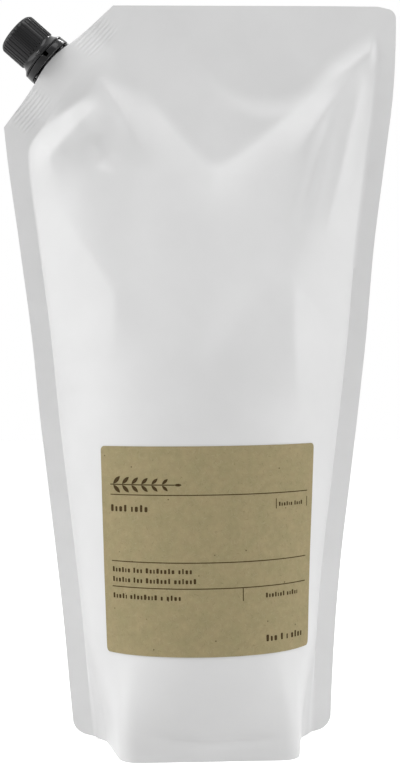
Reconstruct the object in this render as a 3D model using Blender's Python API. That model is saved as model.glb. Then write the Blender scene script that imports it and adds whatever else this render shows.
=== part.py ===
"""Refill pack for hand soap: a filled stand-up pouch with a spout and a screw cap on its cut corner.

Metres, +Z up, the front faces -Y. The pack stands on the skirt around its base, at z = 0.
The film, with the soap in it, is one closed body. The paper label lies on its front. The spout is
welded into the cut corner, and the tamper band, the sealing disc and the screw cap sit on the spout.
"""

import math

import bmesh
import bpy
import numpy as np
from mathutils import Matrix, Vector

MM = 0.001
GAP = 0.3 * MM

# The pouch: its outer sizes, then its outline and depth as shares of them, from the ground upwards
POUCH_HEIGHT = 293.0 * MM
POUCH_WIDTH = 160.0 * MM
POUCH_DEPTH = 84.4 * MM
HEIGHT_SHARES = np.array([0.0, 0.075, 0.147, 0.246, 0.341, 0.444, 0.539, 0.669, 0.802, 0.881, 0.959, 1.024])
HEIGHTS = POUCH_HEIGHT * HEIGHT_SHARES
LEFT_SHARES = np.array([0.618, 0.645, 0.669, 0.708, 0.749, 0.793, 0.828, 0.891, 0.958, 0.985, 1.0, 1.0])
RIGHT_SHARES = np.array([0.663, 0.674, 0.689, 0.720, 0.761, 0.805, 0.843, 0.885, 0.948, 0.985, 1.0, 1.0])
DEPTH_SHARES = np.array([0.936, 0.991, 1.0, 0.976, 0.922, 0.860, 0.791, 0.652, 0.438, 0.320, 0.190, 0.0])
LEFT_HALF = POUCH_WIDTH / 2 * LEFT_SHARES
RIGHT_HALF = POUCH_WIDTH / 2 * RIGHT_SHARES
HALF_DEPTH = POUCH_DEPTH / 2 * DEPTH_SHARES
FILM = 0.4 * MM
FIN_WIDTH = 7.5 * MM
TOP_ROUNDING = 4.0 * MM

# The base: its plan turns from an arc into a box with pinched fins, over a recess inside the skirt
BOX_FROM_HEIGHT = 46.0 * MM
BOX_FULL_HEIGHT = 6.0 * MM
BOX_SIDE_ANGLE = math.radians(80.0)
BOX_FIN_ANGLE = math.radians(30.0)
BOX_CORNER = (0.36, 0.56)
BOX_PINCH = (0.85, 1.0)
RECESS_HALF_WIDTH = 31.0 * MM
RECESS_HALF_DEPTH = 37.6 * MM
RECESS_EDGE_HEIGHT = 7.0 * MM
RECESS_MIDDLE_HEIGHT = 1.5 * MM
RECESS_POWER = 4.0
FIN_CORNER_RADIUS = 7.0 * MM
FIN_FOOT_HEIGHT = 1.6 * MM

# The cut corner and the spout's place in it, from the pouch's widest side and from its top
SPOUT_TILT = math.radians(-49.0)
SPOUT_FROM_SIDE = 21.8 * MM
SPOUT_BELOW_TOP = 25.0 * MM
CUT_TOP_FROM_SIDE = 46.6 * MM
CUT_SIDE_FROM_SIDE = 2.8 * MM
CUT_SIDE_BELOW_TOP = 49.6 * MM
SPOUT_BASE = Vector((SPOUT_FROM_SIDE - POUCH_WIDTH / 2, 0.0, POUCH_HEIGHT - SPOUT_BELOW_TOP))
CUT_TOP = (CUT_TOP_FROM_SIDE - POUCH_WIDTH / 2, POUCH_HEIGHT)
CUT_SIDE = (CUT_SIDE_FROM_SIDE - POUCH_WIDTH / 2, POUCH_HEIGHT - CUT_SIDE_BELOW_TOP)
CORNER_SEAL = 11.0 * MM
CORNER_BLEND = 4.0 * MM

# The spout: a boat-shaped foot between the films, a flange, a retaining bead and a threaded neck
FOOT_HALF_LENGTH = 18.0 * MM
FOOT_HALF_THICKNESS = 5.6 * MM
FOOT_TIP_THICKNESS = 0.5 * MM
FOOT_DEPTH = 11.0 * MM
FOOT_TOP = 1.6 * MM
FOOT_RIB_STEP = 0.35 * MM
STEM_RADIUS = 5.4 * MM
FOOT_COVER_REACH = 3.0 * MM
FOOT_FADE = 26.0 * MM
FLANGE_RADIUS = 10.55 * MM
FLANGE_THICKNESS = 0.9 * MM
CUT_FLAT_HALF = FLANGE_RADIUS + GAP / 2
NECK_RADIUS = 6.2 * MM
NECK_LENGTH = 16.4 * MM
BORE_RADIUS = 4.8 * MM
BEAD_RADIUS = 8.4 * MM
BEAD_BOTTOM = 1.6 * MM
BEAD_TOP = 2.6 * MM

# The thread on the neck and in the cap
THREAD_PITCH = 3.0 * MM
THREAD_DEPTH = 0.7 * MM
THREAD_ROOT_WIDTH = 1.2 * MM
THREAD_CREST_WIDTH = 0.6 * MM
THREAD_BOTTOM = 8.4 * MM
THREAD_TURNS = 2.0
STEPS_A_TURN = 24

# The tamper band, seated over the flange and the bead
BAND_BOTTOM_RADIUS = FLANGE_RADIUS
BAND_TOP_RADIUS = 10.38 * MM
BAND_WALL = 1.1 * MM
BAND_TOP = 4.1 * MM
BAND_HOOK_RADIUS = 7.0 * MM
BAND_HOOK_HEIGHT = 0.8 * MM
NOTCH_WIDTH = 1.7 * MM
NOTCH_DEPTH = 1.7 * MM
NOTCH_ANGLE = math.radians(-90.0)

# The screw cap: a flared rim, a ribbed grip and a rounded top
CAP_RIM_RADIUS = 10.35 * MM
CAP_RIM_HEIGHT = 0.6 * MM
WAIST_RADIUS = 8.85 * MM
WAIST_HEIGHT = 7.9 * MM
GRIP_RADIUS = 8.4 * MM
RIB_HEIGHT = 0.32 * MM
RIB_COUNT = 30
CAP_TOP = 19.9 * MM
CAP_TOP_WALL = 1.6 * MM
CAP_WALL = 1.2 * MM
CAP_TOP_ROUNDING = 1.9 * MM
HOLLOW_STEP_BOTTOM = 0.8 * MM
HOLLOW_STEP_TOP = 1.2 * MM
DISC_THICKNESS = 1.3 * MM

# The label, on the middle of the front
LABEL_HALF_WIDTH = 45.2 * MM
LABEL_BOTTOM = 39.6 * MM
LABEL_TOP = 117.9 * MM
LABEL_THICKNESS = 0.2 * MM
LABEL_CORNER = 1.6 * MM

# The taut film under the top: it lies nearly flat inside an upper V, and tilts back above a lower one.
# Each V is the x of its tip, how far it is below the top, and the slopes of its left and right arms.
UPPER_VEE = (6.0 * MM, 65.5 * MM, 1.24, 0.86)
UPPER_VEE_ROUNDING = 5.0 * MM
UPPER_VEE_RUN = 9.0 * MM
INNER_START = 9.0 * MM
INNER_RUN = 60.0 * MM
INNER_BEND = 1.9
SMILE_MIDDLE = (27.0 * MM, 36.0 * MM)
SMILE_BEND = 21.5
SMILE_RUN = 10.0 * MM
LOWER_VEE = (-0.7 * MM, 141.5 * MM, 1.0, 1.12)
LOWER_VEE_ROUNDING = 3.0 * MM
LOWER_VEE_TILT = 0.2
LOWER_VEE_DROP = 8.0 * MM
LOWER_VEE_REACH = (24.0 * MM, 50.0 * MM)

# Ridges, positive, and valleys, negative: points across and below the top, half width and height, in mm
FOLDS = [
    ([(-54.0, 10.0), (-40.0, 31.0), (-30.0, 46.0), (-20.0, 69.0)], 12.0, 5.0),
    ([(-68.0, 68.0), (-60.0, 63.0), (-50.0, 52.0), (-38.0, 38.0)], 17.0, 4.5),
    ([(-44.0, 54.0), (-35.0, 67.0)], 9.0, -1.5),
    ([(68.0, 18.0), (50.0, 43.0), (32.0, 67.0)], 15.0, 3.2),
    ([(58.0, 30.0), (47.0, 59.0), (42.0, 76.0), (35.0, 100.0)], 6.0, -1.6),
    ([(69.0, 20.0), (60.0, 51.0), (57.0, 64.0), (48.0, 98.0)], 6.0, 1.8),
    ([(-58.0, 75.0), (-50.5, 92.0), (-39.5, 107.0), (-34.0, 117.0), (-34.0, 145.0)], 14.0, 1.8),
    ([(50.0, 111.0), (35.5, 115.0), (35.0, 127.0), (37.0, 165.0)], 13.0, 1.6),
    ([(-42.0, 64.0), (-32.0, 68.0)], 4.0, -0.9),
]
FOLD_ROUNDING = 1.0 * MM
FOLD_TAPER = 0.35
PANEL_EASE = 9.0 * MM
FOOT_BLEND = 1.2 * MM

# How finely the film is divided
LEFT_COLUMNS = 8
PANEL_COLUMNS = 26
SPARE_TOP = 2.0 * MM
ROW_HEIGHTS = np.concatenate(
    [
        np.array([0.0, 3.0, 7.0, 12.0, 18.0, 24.0]) * MM,
        np.linspace(31.0 * MM, POUCH_HEIGHT - 116.0 * MM, 17),
        np.linspace(POUCH_HEIGHT - 108.0 * MM, POUCH_HEIGHT - 10.0 * MM, 20),
        np.array([POUCH_HEIGHT + SPARE_TOP]),
    ]
)

FILM_COLOUR = (0.80, 0.80, 0.79, 1.0)
PAPER_COLOUR = (0.31, 0.26, 0.15, 1.0)
BLACK_COLOUR = (0.012, 0.012, 0.013, 1.0)
DISC_COLOUR = (0.70, 0.70, 0.68, 1.0)


def clear_scene():
    for old in list(bpy.data.objects):
        bpy.data.objects.remove(old, do_unlink=True)


def material(name, colour, roughness):
    finish = bpy.data.materials.new(name)
    finish.use_nodes = True
    shader = finish.node_tree.nodes["Principled BSDF"]
    shader.inputs["Base Color"].default_value = colour
    shader.inputs["Roughness"].default_value = roughness
    shader.inputs["Metallic"].default_value = 0.0
    return finish


def add_object(name, mesh_data, finish=None, matrix=None):
    piece = bpy.data.objects.new(name, mesh_data)
    bpy.context.scene.collection.objects.link(piece)
    if finish is not None:
        mesh_data.materials.append(finish)
    if matrix is not None:
        piece.matrix_world = matrix
    return piece


def mesh_from(name, points, faces):
    """A mesh with its faces turned outwards."""
    shape = bmesh.new()
    corners = [shape.verts.new(point) for point in points]
    for face in faces:
        shape.faces.new([corners[index] for index in face])
    bmesh.ops.recalc_face_normals(shape, faces=shape.faces)
    data = bpy.data.meshes.new(name)
    shape.to_mesh(data)
    shape.free()
    return data


def cutter(name, mesh_data, matrix=None):
    tool = add_object(name, mesh_data, matrix=matrix)
    tool.hide_render = True
    tool.display_type = "WIRE"
    return tool


def boolean(piece, tool, operation):
    step = piece.modifiers.new(tool.name, "BOOLEAN")
    step.operation = operation
    step.object = tool
    step.solver = "EXACT"


def smooth_step(value):
    value = np.clip(value, 0.0, 1.0)
    return value * value * (3.0 - 2.0 * value)


def smooth_curve(height, values):
    """A smooth curve through the values given at HEIGHTS."""
    slopes = np.gradient(values, HEIGHTS)
    index = int(np.clip(np.searchsorted(HEIGHTS, height) - 1, 0, len(HEIGHTS) - 2))
    span = HEIGHTS[index + 1] - HEIGHTS[index]
    t = (height - HEIGHTS[index]) / span
    start = (1 + 2 * t) * (1 - t) ** 2 * values[index] + t * (1 - t) ** 2 * slopes[index] * span
    end = t * t * (3 - 2 * t) * values[index + 1] + t * t * (t - 1) * slopes[index + 1] * span
    return float(start + end)


def box_section():
    """The base's plan from the middle of the front to a fin, as shares of its width and depth."""
    share = np.linspace(0.0, 1.0, 201)
    turn = smooth_step((share - BOX_CORNER[0]) / (BOX_CORNER[1] - BOX_CORNER[0]))
    pinch = smooth_step((share - BOX_PINCH[0]) / (BOX_PINCH[1] - BOX_PINCH[0]))
    angle = BOX_SIDE_ANGLE * turn - (BOX_SIDE_ANGLE - BOX_FIN_ANGLE) * pinch
    across = np.concatenate([[0.0], np.cumsum(np.cos(angle))[:-1]])
    along = np.concatenate([[0.0], np.cumsum(np.sin(angle))[:-1]])
    return share, across / across[-1], 1.0 - along / along[-1]


BOX_SHARE, BOX_ACROSS, BOX_OUT = box_section()


def cut_line_inner(height):
    """The x of the inner edge of the corner's seal at a height."""
    run = CUT_TOP[0] - CUT_SIDE[0]
    rise = CUT_TOP[1] - CUT_SIDE[1]
    length = math.hypot(run, rise)
    start_x = CUT_SIDE[0] + CORNER_SEAL * rise / length
    start_z = CUT_SIDE[1] - CORNER_SEAL * run / length
    return start_x + (height - start_z) * run / rise


def panel_limits(height):
    """The x of the bulging panel's left and right ends at a height, between the seals."""
    left = -(smooth_curve(height, LEFT_HALF) - FIN_WIDTH)
    cut = cut_line_inner(height)
    left = 0.5 * (left + cut + math.hypot(left - cut, CORNER_BLEND))
    right = smooth_curve(height, RIGHT_HALF) - FIN_WIDTH
    return left, right


def section(share, half_chord, depth, box):
    """The panel's section at a share, -1 to 1, of its arc: the shares of half chord and depth."""
    angle = max(2.0 * math.atan2(depth, half_chord), 0.001)
    arc_across = math.sin(angle * share) / math.sin(angle)
    arc_out = (math.cos(angle * share) - math.cos(angle)) / (1.0 - math.cos(angle))
    box_across = math.copysign(float(np.interp(abs(share), BOX_SHARE, BOX_ACROSS)), share)
    box_out = float(np.interp(abs(share), BOX_SHARE, BOX_OUT))
    return arc_across + (box_across - arc_across) * box, arc_out + (box_out - arc_out) * box


def in_corner(x, z):
    """Place along the cut edge and depth behind it, for a point of the pouch."""
    dx = x - SPOUT_BASE.x
    dz = z - SPOUT_BASE.z
    along = dx * math.cos(SPOUT_TILT) - dz * math.sin(SPOUT_TILT)
    behind = -(dx * math.sin(SPOUT_TILT) + dz * math.cos(SPOUT_TILT))
    return along, behind


def foot_half_thickness(along):
    """The spout foot's half thickness at a place along the cut edge."""
    share = min(abs(along) / FOOT_HALF_LENGTH, 1.0)
    return FOOT_TIP_THICKNESS + (FOOT_HALF_THICKNESS - FOOT_TIP_THICKNESS) * (1.0 - share**2) ** 1.3


def foot_bulge(x, z):
    """How far the film stands out over the spout's foot, fading behind it."""
    along, behind = in_corner(x, z)
    reach = FOOT_HALF_LENGTH + FOOT_COVER_REACH
    if abs(along) > reach:
        return 0.0
    cover = foot_half_thickness(along) + GAP + FILM
    edge = float(smooth_step((reach - abs(along)) / FOOT_COVER_REACH))
    past = max(behind - FOOT_DEPTH - FOOT_COVER_REACH, 0.0)
    fade = max(1.0 - past / FOOT_FADE, 0.0) ** 1.5
    return cover * edge * fade


def fold_height(x, z):
    """The folds' height at a point. Each fold is sharp along its line and fades at its ends."""
    total = 0.0
    for corners, half_width, height in FOLDS:
        line = [(across * MM, POUCH_HEIGHT - down * MM) for across, down in corners]
        pieces = list(zip(line, line[1:]))
        length = sum(math.dist(start, end) for start, end in pieces)
        nearest = length + POUCH_HEIGHT
        place = 0.0
        passed = 0.0
        for start, end in pieces:
            run, rise = end[0] - start[0], end[1] - start[1]
            t = ((x - start[0]) * run + (z - start[1]) * rise) / (run**2 + rise**2)
            t = min(max(t, 0.0), 1.0)
            distance = math.hypot(x - start[0] - t * run, z - start[1] - t * rise)
            if distance < nearest:
                nearest = distance
                place = passed + t * math.hypot(run, rise)
            passed += math.hypot(run, rise)
        taper = float(smooth_step(min(place, length - place) / (FOLD_TAPER * length)))
        reach = math.hypot(nearest, FOLD_ROUNDING) / (half_width * MM)
        total += height * MM * taper * max(1.0 - reach, 0.0) ** 2
    return total


def below_vee(x, z, vee, rounding):
    """How far a point lies below a V's line, which is rounded at its tip."""
    tip_x, tip_down, left_slope, right_slope = vee
    dx = x - tip_x
    arm = -dx * left_slope if dx < 0.0 else dx * right_slope
    return POUCH_HEIGHT - tip_down + math.hypot(arm, rounding) - rounding - z


def soft_positive(value, softness):
    return softness * float(np.logaddexp(0.0, value / softness))


def lower_vee_drop(x, z):
    """How far the film falls back above the lower V, least towards the sides."""
    above = soft_positive(-below_vee(x, z, LOWER_VEE, LOWER_VEE_ROUNDING), LOWER_VEE_ROUNDING)
    near, far = LOWER_VEE_REACH
    middle = float(smooth_step((far - abs(x)) / (far - near)))
    return middle * LOWER_VEE_DROP * (1.0 - math.exp(-LOWER_VEE_TILT * above / LOWER_VEE_DROP))


def inner_depth(x, z):
    """Depth of the flat film inside the upper V, with its smile-shaped step below the top."""
    down = POUCH_HEIGHT - z
    plane = INNER_BEND * min(max(down - INNER_START, 0.0), INNER_RUN) ** 2
    smile_down = SMILE_MIDDLE[1] - SMILE_BEND * (x - SMILE_MIDDLE[0]) ** 2
    return plane * float(smooth_step((down - smile_down) / SMILE_RUN))


def front_point(share, height):
    """A point of the front panel, from -1 at its left seal to 1 at its right seal."""
    left, right = panel_limits(height)
    half_chord = (right - left) / 2
    depth = max(smooth_curve(height, HALF_DEPTH), 0.0)
    box = float(smooth_step((BOX_FROM_HEIGHT - height) / (BOX_FROM_HEIGHT - BOX_FULL_HEIGHT)))
    across, out = section(share, half_chord, depth, box)
    x = (left + right) / 2 + half_chord * across
    ease = float(smooth_step(min(x - left, right - x) / PANEL_EASE))
    body = depth * max(out, 0.0) + (fold_height(x, height) - lower_vee_drop(x, height)) * ease
    inner = inner_depth(x, height) * ease
    below = soft_positive(below_vee(x, height, UPPER_VEE, UPPER_VEE_ROUNDING), MM)
    body += (inner - body) * math.exp(-below / UPPER_VEE_RUN)
    foot = foot_bulge(x, height)
    joined = 0.5 * (body + foot + math.hypot(body - foot, min(FOOT_BLEND, foot)))
    return Vector((x, -(FILM / 2 + max(joined, 0.0)), height))


def pouch_row(height):
    """The front of the pouch at a height, from its left edge to its right edge."""
    left, right = panel_limits(height)
    outer_left = -smooth_curve(height, LEFT_HALF)
    outer_right = smooth_curve(height, RIGHT_HALF)
    row = []
    for index in range(LEFT_COLUMNS):
        x = outer_left + (left - outer_left) * index / LEFT_COLUMNS
        row.append(Vector((x, -(FILM / 2 + foot_bulge(x, height)), height)))
    for index in range(PANEL_COLUMNS + 1):
        share = -1.0 + 2.0 * index / PANEL_COLUMNS
        row.append(front_point(share, height))
    row.append(Vector((outer_right, -FILM / 2, height)))
    return row


def pouch_shell():
    """The closed pouch before its outline is trimmed."""
    points = []
    for height in ROW_HEIGHTS:
        row = pouch_row(float(height))
        points += row
        points += [Vector((point.x, -point.y, point.z)) for point in reversed(row)]
    count = LEFT_COLUMNS + PANEL_COLUMNS + 2
    loop = 2 * count
    faces = []
    for level in range(len(ROW_HEIGHTS) - 1):
        for index in range(loop):
            a = level * loop + index
            b = level * loop + (index + 1) % loop
            faces.append((a, b, b + loop, a + loop))
    for base in (0, (len(ROW_HEIGHTS) - 1) * loop):
        for index in range(count - 1):
            faces.append((base + index, base + index + 1, base + loop - 2 - index, base + loop - 1 - index))
    return mesh_from("film_pouch", points, faces)


def arc(centre_x, centre_z, radius, start, end, steps):
    points = []
    for index in range(steps + 1):
        angle = math.radians(start + (end - start) * index / steps)
        points.append((centre_x + radius * math.cos(angle), centre_z + radius * math.sin(angle)))
    return points


def outline():
    """The trimmed outline of the flat edges, round the pouch from its left foot."""
    beyond = 0.6 * POUCH_WIDTH
    below = -6.0 * MM
    side_run = 8.0 * MM
    corner_z = FIN_FOOT_HEIGHT + FIN_CORNER_RADIUS
    left_x = -(smooth_curve(corner_z, LEFT_HALF) - FIN_CORNER_RADIUS)
    right_x = smooth_curve(corner_z, RIGHT_HALF) - FIN_CORNER_RADIUS
    top_x = smooth_curve(POUCH_HEIGHT - TOP_ROUNDING, RIGHT_HALF) - TOP_ROUNDING
    axis = (math.sin(SPOUT_TILT), math.cos(SPOUT_TILT))
    edge_x = SPOUT_BASE.x - axis[0] * GAP / 2
    edge_z = SPOUT_BASE.z - axis[1] * GAP / 2
    points = [(left_x, below), (right_x, below)]
    points += arc(right_x, corner_z, FIN_CORNER_RADIUS, -90, 0, 5)
    points += [(beyond, corner_z), (beyond, POUCH_HEIGHT - TOP_ROUNDING)]
    points += arc(top_x, POUCH_HEIGHT - TOP_ROUNDING, TOP_ROUNDING, 0, 90, 5)
    points += [CUT_TOP]
    points += [(edge_x + axis[1] * CUT_FLAT_HALF, edge_z - axis[0] * CUT_FLAT_HALF)]
    points += [(edge_x - axis[1] * CUT_FLAT_HALF, edge_z + axis[0] * CUT_FLAT_HALF)]
    points += [CUT_SIDE]
    points += [(-beyond, CUT_SIDE[1] - side_run), (-beyond, corner_z)]
    points += arc(left_x, corner_z, FIN_CORNER_RADIUS, 180, 270, 5)
    return points


def prism(name, points, depth):
    """A prism along Y with the given X, Z outline."""
    count = len(points)
    corners = [Vector((x, -depth, z)) for x, z in points] + [Vector((x, depth, z)) for x, z in points]
    faces = [tuple(range(count)), tuple(range(count, 2 * count))]
    for index in range(count):
        after = (index + 1) % count
        faces.append((index, after, after + count, index + count))
    return mesh_from(name, corners, faces)


def recess_shape():
    """The hollow under the base: high along the skirt, with the film sagging in the middle."""
    steps = 36
    shares = [0.35, 0.7, 0.9, 1.0]
    points = [Vector((0.0, 0.0, RECESS_MIDDLE_HEIGHT))]
    for share in shares:
        rise = float(smooth_step((share - 0.2) / 0.75))
        z = RECESS_MIDDLE_HEIGHT + (RECESS_EDGE_HEIGHT - RECESS_MIDDLE_HEIGHT) * rise
        for index in range(steps):
            angle = math.tau * index / steps
            c, s = math.cos(angle), math.sin(angle)
            reach = (abs(c) ** RECESS_POWER + abs(s) ** RECESS_POWER) ** (-1.0 / RECESS_POWER) * share
            points.append(Vector((RECESS_HALF_WIDTH * c * reach, RECESS_HALF_DEPTH * s * reach, z)))
    last = 1 + (len(shares) - 1) * steps
    for index in range(steps):
        point = points[last + index]
        points.append(Vector((point.x, point.y, -2.0 * MM)))
    faces = []
    for index in range(steps):
        faces.append((0, 1 + index, 1 + (index + 1) % steps))
    for level in range(len(shares)):
        for index in range(steps):
            a = 1 + level * steps + index
            b = 1 + level * steps + (index + 1) % steps
            faces.append((a, b, b + steps, a + steps))
    bottom = 1 + len(shares) * steps
    faces.append(tuple(range(bottom, bottom + steps)))
    return mesh_from("recess", points, faces)


def foot_solid(name, grow, with_ribs):
    """The boat-shaped foot in the spout's own axes, grown by a clearance."""
    depth = FOOT_DEPTH + grow
    top = -FOOT_TOP + grow
    half_steps = 9
    outline_points = []
    for index in range(-half_steps, half_steps + 1):
        along = FOOT_HALF_LENGTH * index / half_steps
        outline_points.append((along * (1.0 + grow / FOOT_HALF_LENGTH), foot_half_thickness(along) + grow))
    if with_ribs:
        share_insets = [(0.0, 1.0), (0.28, 1.0), (0.34, 0.0), (0.52, 0.0), (0.58, 1.0), (0.74, 1.0)]
        share_insets += [(0.8, 0.0), (1.0, 0.0)]
        levels = [(-depth + (top + depth) * share, FOOT_RIB_STEP * inset) for share, inset in share_insets]
    else:
        levels = [(-depth, 0.0), (top, 0.0)]
    points = []
    for z, inset in levels:
        near = [Vector((x, -(y - inset * y / FOOT_HALF_THICKNESS), z)) for x, y in outline_points]
        far = [Vector((point.x, -point.y, z)) for point in reversed(near)]
        points += near + far
    loop = 2 * len(outline_points)
    faces = [tuple(range(loop)), tuple(range((len(levels) - 1) * loop, len(levels) * loop))]
    for level in range(len(levels) - 1):
        for index in range(loop):
            a = level * loop + index
            b = level * loop + (index + 1) % loop
            faces.append((a, b, b + loop, a + loop))
    return mesh_from(name, points, faces)


def turned(name, profile, steps, radius_change=None):
    """A turned solid from a closed profile of (radius, height) points; a zero radius is on the axis."""
    points = []
    rings = []
    for level, (radius, z) in enumerate(profile):
        if radius == 0.0:
            points.append(Vector((0.0, 0.0, z)))
            rings.append([len(points) - 1] * steps)
            continue
        ring = []
        for index in range(steps):
            angle = math.tau * index / steps
            change = radius_change(level, index) if radius_change else 0.0
            points.append(Vector(((radius + change) * math.cos(angle), (radius + change) * math.sin(angle), z)))
            ring.append(len(points) - 1)
        rings.append(ring)
    closed = profile[0][0] > 0.0
    pairs = list(zip(rings, rings[1:]))
    if closed:
        pairs.append((rings[-1], rings[0]))
    faces = []
    for lower, upper in pairs:
        for index in range(steps):
            after = (index + 1) % steps
            corners = [lower[index], lower[after], upper[after], upper[index]]
            unique = list(dict.fromkeys(corners))
            if len(unique) > 2:
                faces.append(tuple(unique))
    return mesh_from(name, points, faces)


def thread(name, root_radius, outward, phase):
    """A helical ridge standing out from a root radius, with run-out ends."""
    sink = 0.4 * MM
    steps = int(STEPS_A_TURN * THREAD_TURNS)
    points = []
    for index in range(steps + 1):
        share = index / steps
        angle = math.tau * THREAD_TURNS * share
        fade = float(smooth_step(min(share, 1.0 - share) * THREAD_TURNS * 6.0))
        height = THREAD_DEPTH * (0.05 + 0.95 * fade)
        z = THREAD_BOTTOM + phase * THREAD_PITCH + THREAD_PITCH * THREAD_TURNS * share
        root = root_radius - outward * sink
        crest = root_radius + outward * height
        half_root = THREAD_ROOT_WIDTH / 2
        half_crest = THREAD_CREST_WIDTH / 2
        corners = [(root, -half_root), (crest, -half_crest), (crest, half_crest), (root, half_root)]
        for radius, shift in corners:
            points.append(Vector((radius * math.cos(angle), radius * math.sin(angle), z + shift)))
    faces = [(0, 1, 2, 3), tuple(4 * steps + index for index in range(4))]
    for index in range(steps):
        for side in range(4):
            a = 4 * index + side
            b = 4 * index + (side + 1) % 4
            faces.append((a, b, b + 4, a + 4))
    return mesh_from(name, points, faces)


def spout_matrix():
    return Matrix.Translation(SPOUT_BASE) @ Matrix.Rotation(SPOUT_TILT, 4, "Y")


def make_pouch(finish):
    pouch = add_object("film_pouch", pouch_shell(), finish)
    trim = cutter("trim_outline", prism("trim_outline", outline(), POUCH_DEPTH))
    boolean(pouch, trim, "INTERSECT")
    recess = cutter("base_recess", recess_shape())
    boolean(pouch, recess, "DIFFERENCE")
    pocket = cutter("foot_pocket", foot_solid("foot_pocket", GAP, False), spout_matrix())
    boolean(pouch, pocket, "DIFFERENCE")
    stem = STEM_RADIUS + GAP
    outside = 3.0 * MM
    stem_profile = [(0.0, -FOOT_TOP - MM), (stem, -FOOT_TOP - MM), (stem, outside), (0.0, outside)]
    stem_hole = cutter("stem_hole", turned("stem_hole", stem_profile, 32), spout_matrix())
    boolean(pouch, stem_hole, "DIFFERENCE")
    return pouch


def make_label(finish):
    """The paper label, bent over the front with a small gap behind it."""
    columns = 18
    rows = 12
    middle = (LABEL_BOTTOM + LABEL_TOP) / 2
    half_height = (LABEL_TOP - LABEL_BOTTOM) / 2
    points = []
    for layer in range(2):
        stand = GAP + LABEL_THICKNESS * layer
        for row in range(rows + 1):
            for column in range(columns + 1):
                u = -1.0 + 2.0 * column / columns
                v = -1.0 + 2.0 * row / rows
                corner = LABEL_CORNER if abs(u) == 1.0 and abs(v) == 1.0 else 0.0
                height = middle + v * (half_height - corner * 0.6)
                points.append(label_point(u * (1.0 - corner * 0.4 / LABEL_HALF_WIDTH), height, stand))
    width = columns + 1
    layer_size = width * (rows + 1)
    faces = []
    for row in range(rows):
        for column in range(columns):
            a = row * width + column
            faces.append((a, a + 1, a + 1 + width, a + width))
            faces.append(tuple(index + layer_size for index in (a + width, a + 1 + width, a + 1, a)))
    rim = [column for column in range(columns)]
    rim += [row * width + columns for row in range(rows)]
    rim += [rows * width + columns - column for column in range(columns)]
    rim += [(rows - row) * width for row in range(rows)]
    for index, a in enumerate(rim):
        b = rim[(index + 1) % len(rim)]
        faces.append((b, a, a + layer_size, b + layer_size))
    return add_object("paper_label", mesh_from("paper_label", points, faces), finish)


def label_point(u, height, stand):
    """A point of the label at a share of its half width, standing off the film."""
    step = 0.004
    half_arc = panel_half_arc(height)
    share = u * LABEL_HALF_WIDTH / half_arc
    here = front_point(share, height)
    side = front_point(share + step, height) - front_point(share - step, height)
    rise = front_point(share, height + MM) - front_point(share, height - MM)
    normal = side.cross(rise).normalized()
    return here + normal * stand


def panel_half_arc(height):
    """Half the panel's length from seal to seal, along its section."""
    steps = 24
    length = 0.0
    before = front_point(-1.0, height)
    for index in range(1, steps + 1):
        after = front_point(-1.0 + 2.0 * index / steps, height)
        length += (after - before).length
        before = after
    return length / 2


def make_spout(finish):
    """Foot, flange, bead, neck and thread in one piece, with a bore from end to end."""
    place = spout_matrix()
    flange_bottom = GAP / 2
    flange_top = flange_bottom + FLANGE_THICKNESS
    lip = 0.5 * MM
    profile = [
        (0.0, -FOOT_TOP - MM),
        (STEM_RADIUS, -FOOT_TOP - MM),
        (STEM_RADIUS, flange_bottom),
        (FLANGE_RADIUS, flange_bottom),
        (FLANGE_RADIUS, flange_top),
        (NECK_RADIUS, flange_top),
        (NECK_RADIUS, BEAD_BOTTOM),
        (BEAD_RADIUS, BEAD_BOTTOM + 0.2 * MM),
        (BEAD_RADIUS, BEAD_TOP - 0.4 * MM),
        (NECK_RADIUS, BEAD_TOP),
        (NECK_RADIUS, NECK_LENGTH - lip),
        (NECK_RADIUS - lip, NECK_LENGTH),
        (0.0, NECK_LENGTH),
    ]
    spout = add_object("spout", turned("spout", profile, 32), finish, place)
    foot = cutter("spout_foot", foot_solid("spout_foot", 0.0, True), place)
    boolean(spout, foot, "UNION")
    ridge = cutter("neck_thread", thread("neck_thread", NECK_RADIUS, 1.0, 0.0), place)
    boolean(spout, ridge, "UNION")
    bore_profile = [(0.0, -FOOT_DEPTH - MM), (BORE_RADIUS, -FOOT_DEPTH - MM), (BORE_RADIUS, NECK_LENGTH + MM)]
    bore_profile += [(0.0, NECK_LENGTH + MM)]
    bore = cutter("spout_bore", turned("spout_bore", bore_profile, 32), place)
    boolean(spout, bore, "DIFFERENCE")
    return spout


def make_band(finish):
    """The tamper band: a ring over the flange, hooked over the neck's bead, with a notch in its top."""
    bottom = GAP / 2 + FLANGE_THICKNESS + GAP
    hook_bottom = BEAD_TOP + GAP
    inner = BAND_TOP_RADIUS - BAND_WALL
    profile = [
        (inner, bottom),
        (BAND_BOTTOM_RADIUS, bottom),
        (BAND_TOP_RADIUS, BAND_TOP),
        (inner, BAND_TOP),
        (BAND_HOOK_RADIUS, hook_bottom + BAND_HOOK_HEIGHT),
        (BAND_HOOK_RADIUS, hook_bottom),
        (inner, hook_bottom),
    ]
    place = spout_matrix()
    band = add_object("tamper_band", turned("tamper_band", profile, 48), finish, place)
    low = BAND_TOP - NOTCH_DEPTH
    high = BAND_TOP + MM
    half = NOTCH_WIDTH / 2
    corners = [Vector((x, y, z)) for x in (inner - 0.2 * MM, BAND_BOTTOM_RADIUS + MM) for y in (-half, half)
               for z in (low, high)]
    faces = [(0, 1, 3, 2), (4, 6, 7, 5), (0, 4, 5, 1), (2, 3, 7, 6), (0, 2, 6, 4), (1, 5, 7, 3)]
    turn = place @ Matrix.Rotation(NOTCH_ANGLE, 4, "Z")
    notch = cutter("band_notch", mesh_from("band_notch", corners, faces), turn)
    boolean(band, notch, "DIFFERENCE")
    return band


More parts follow.
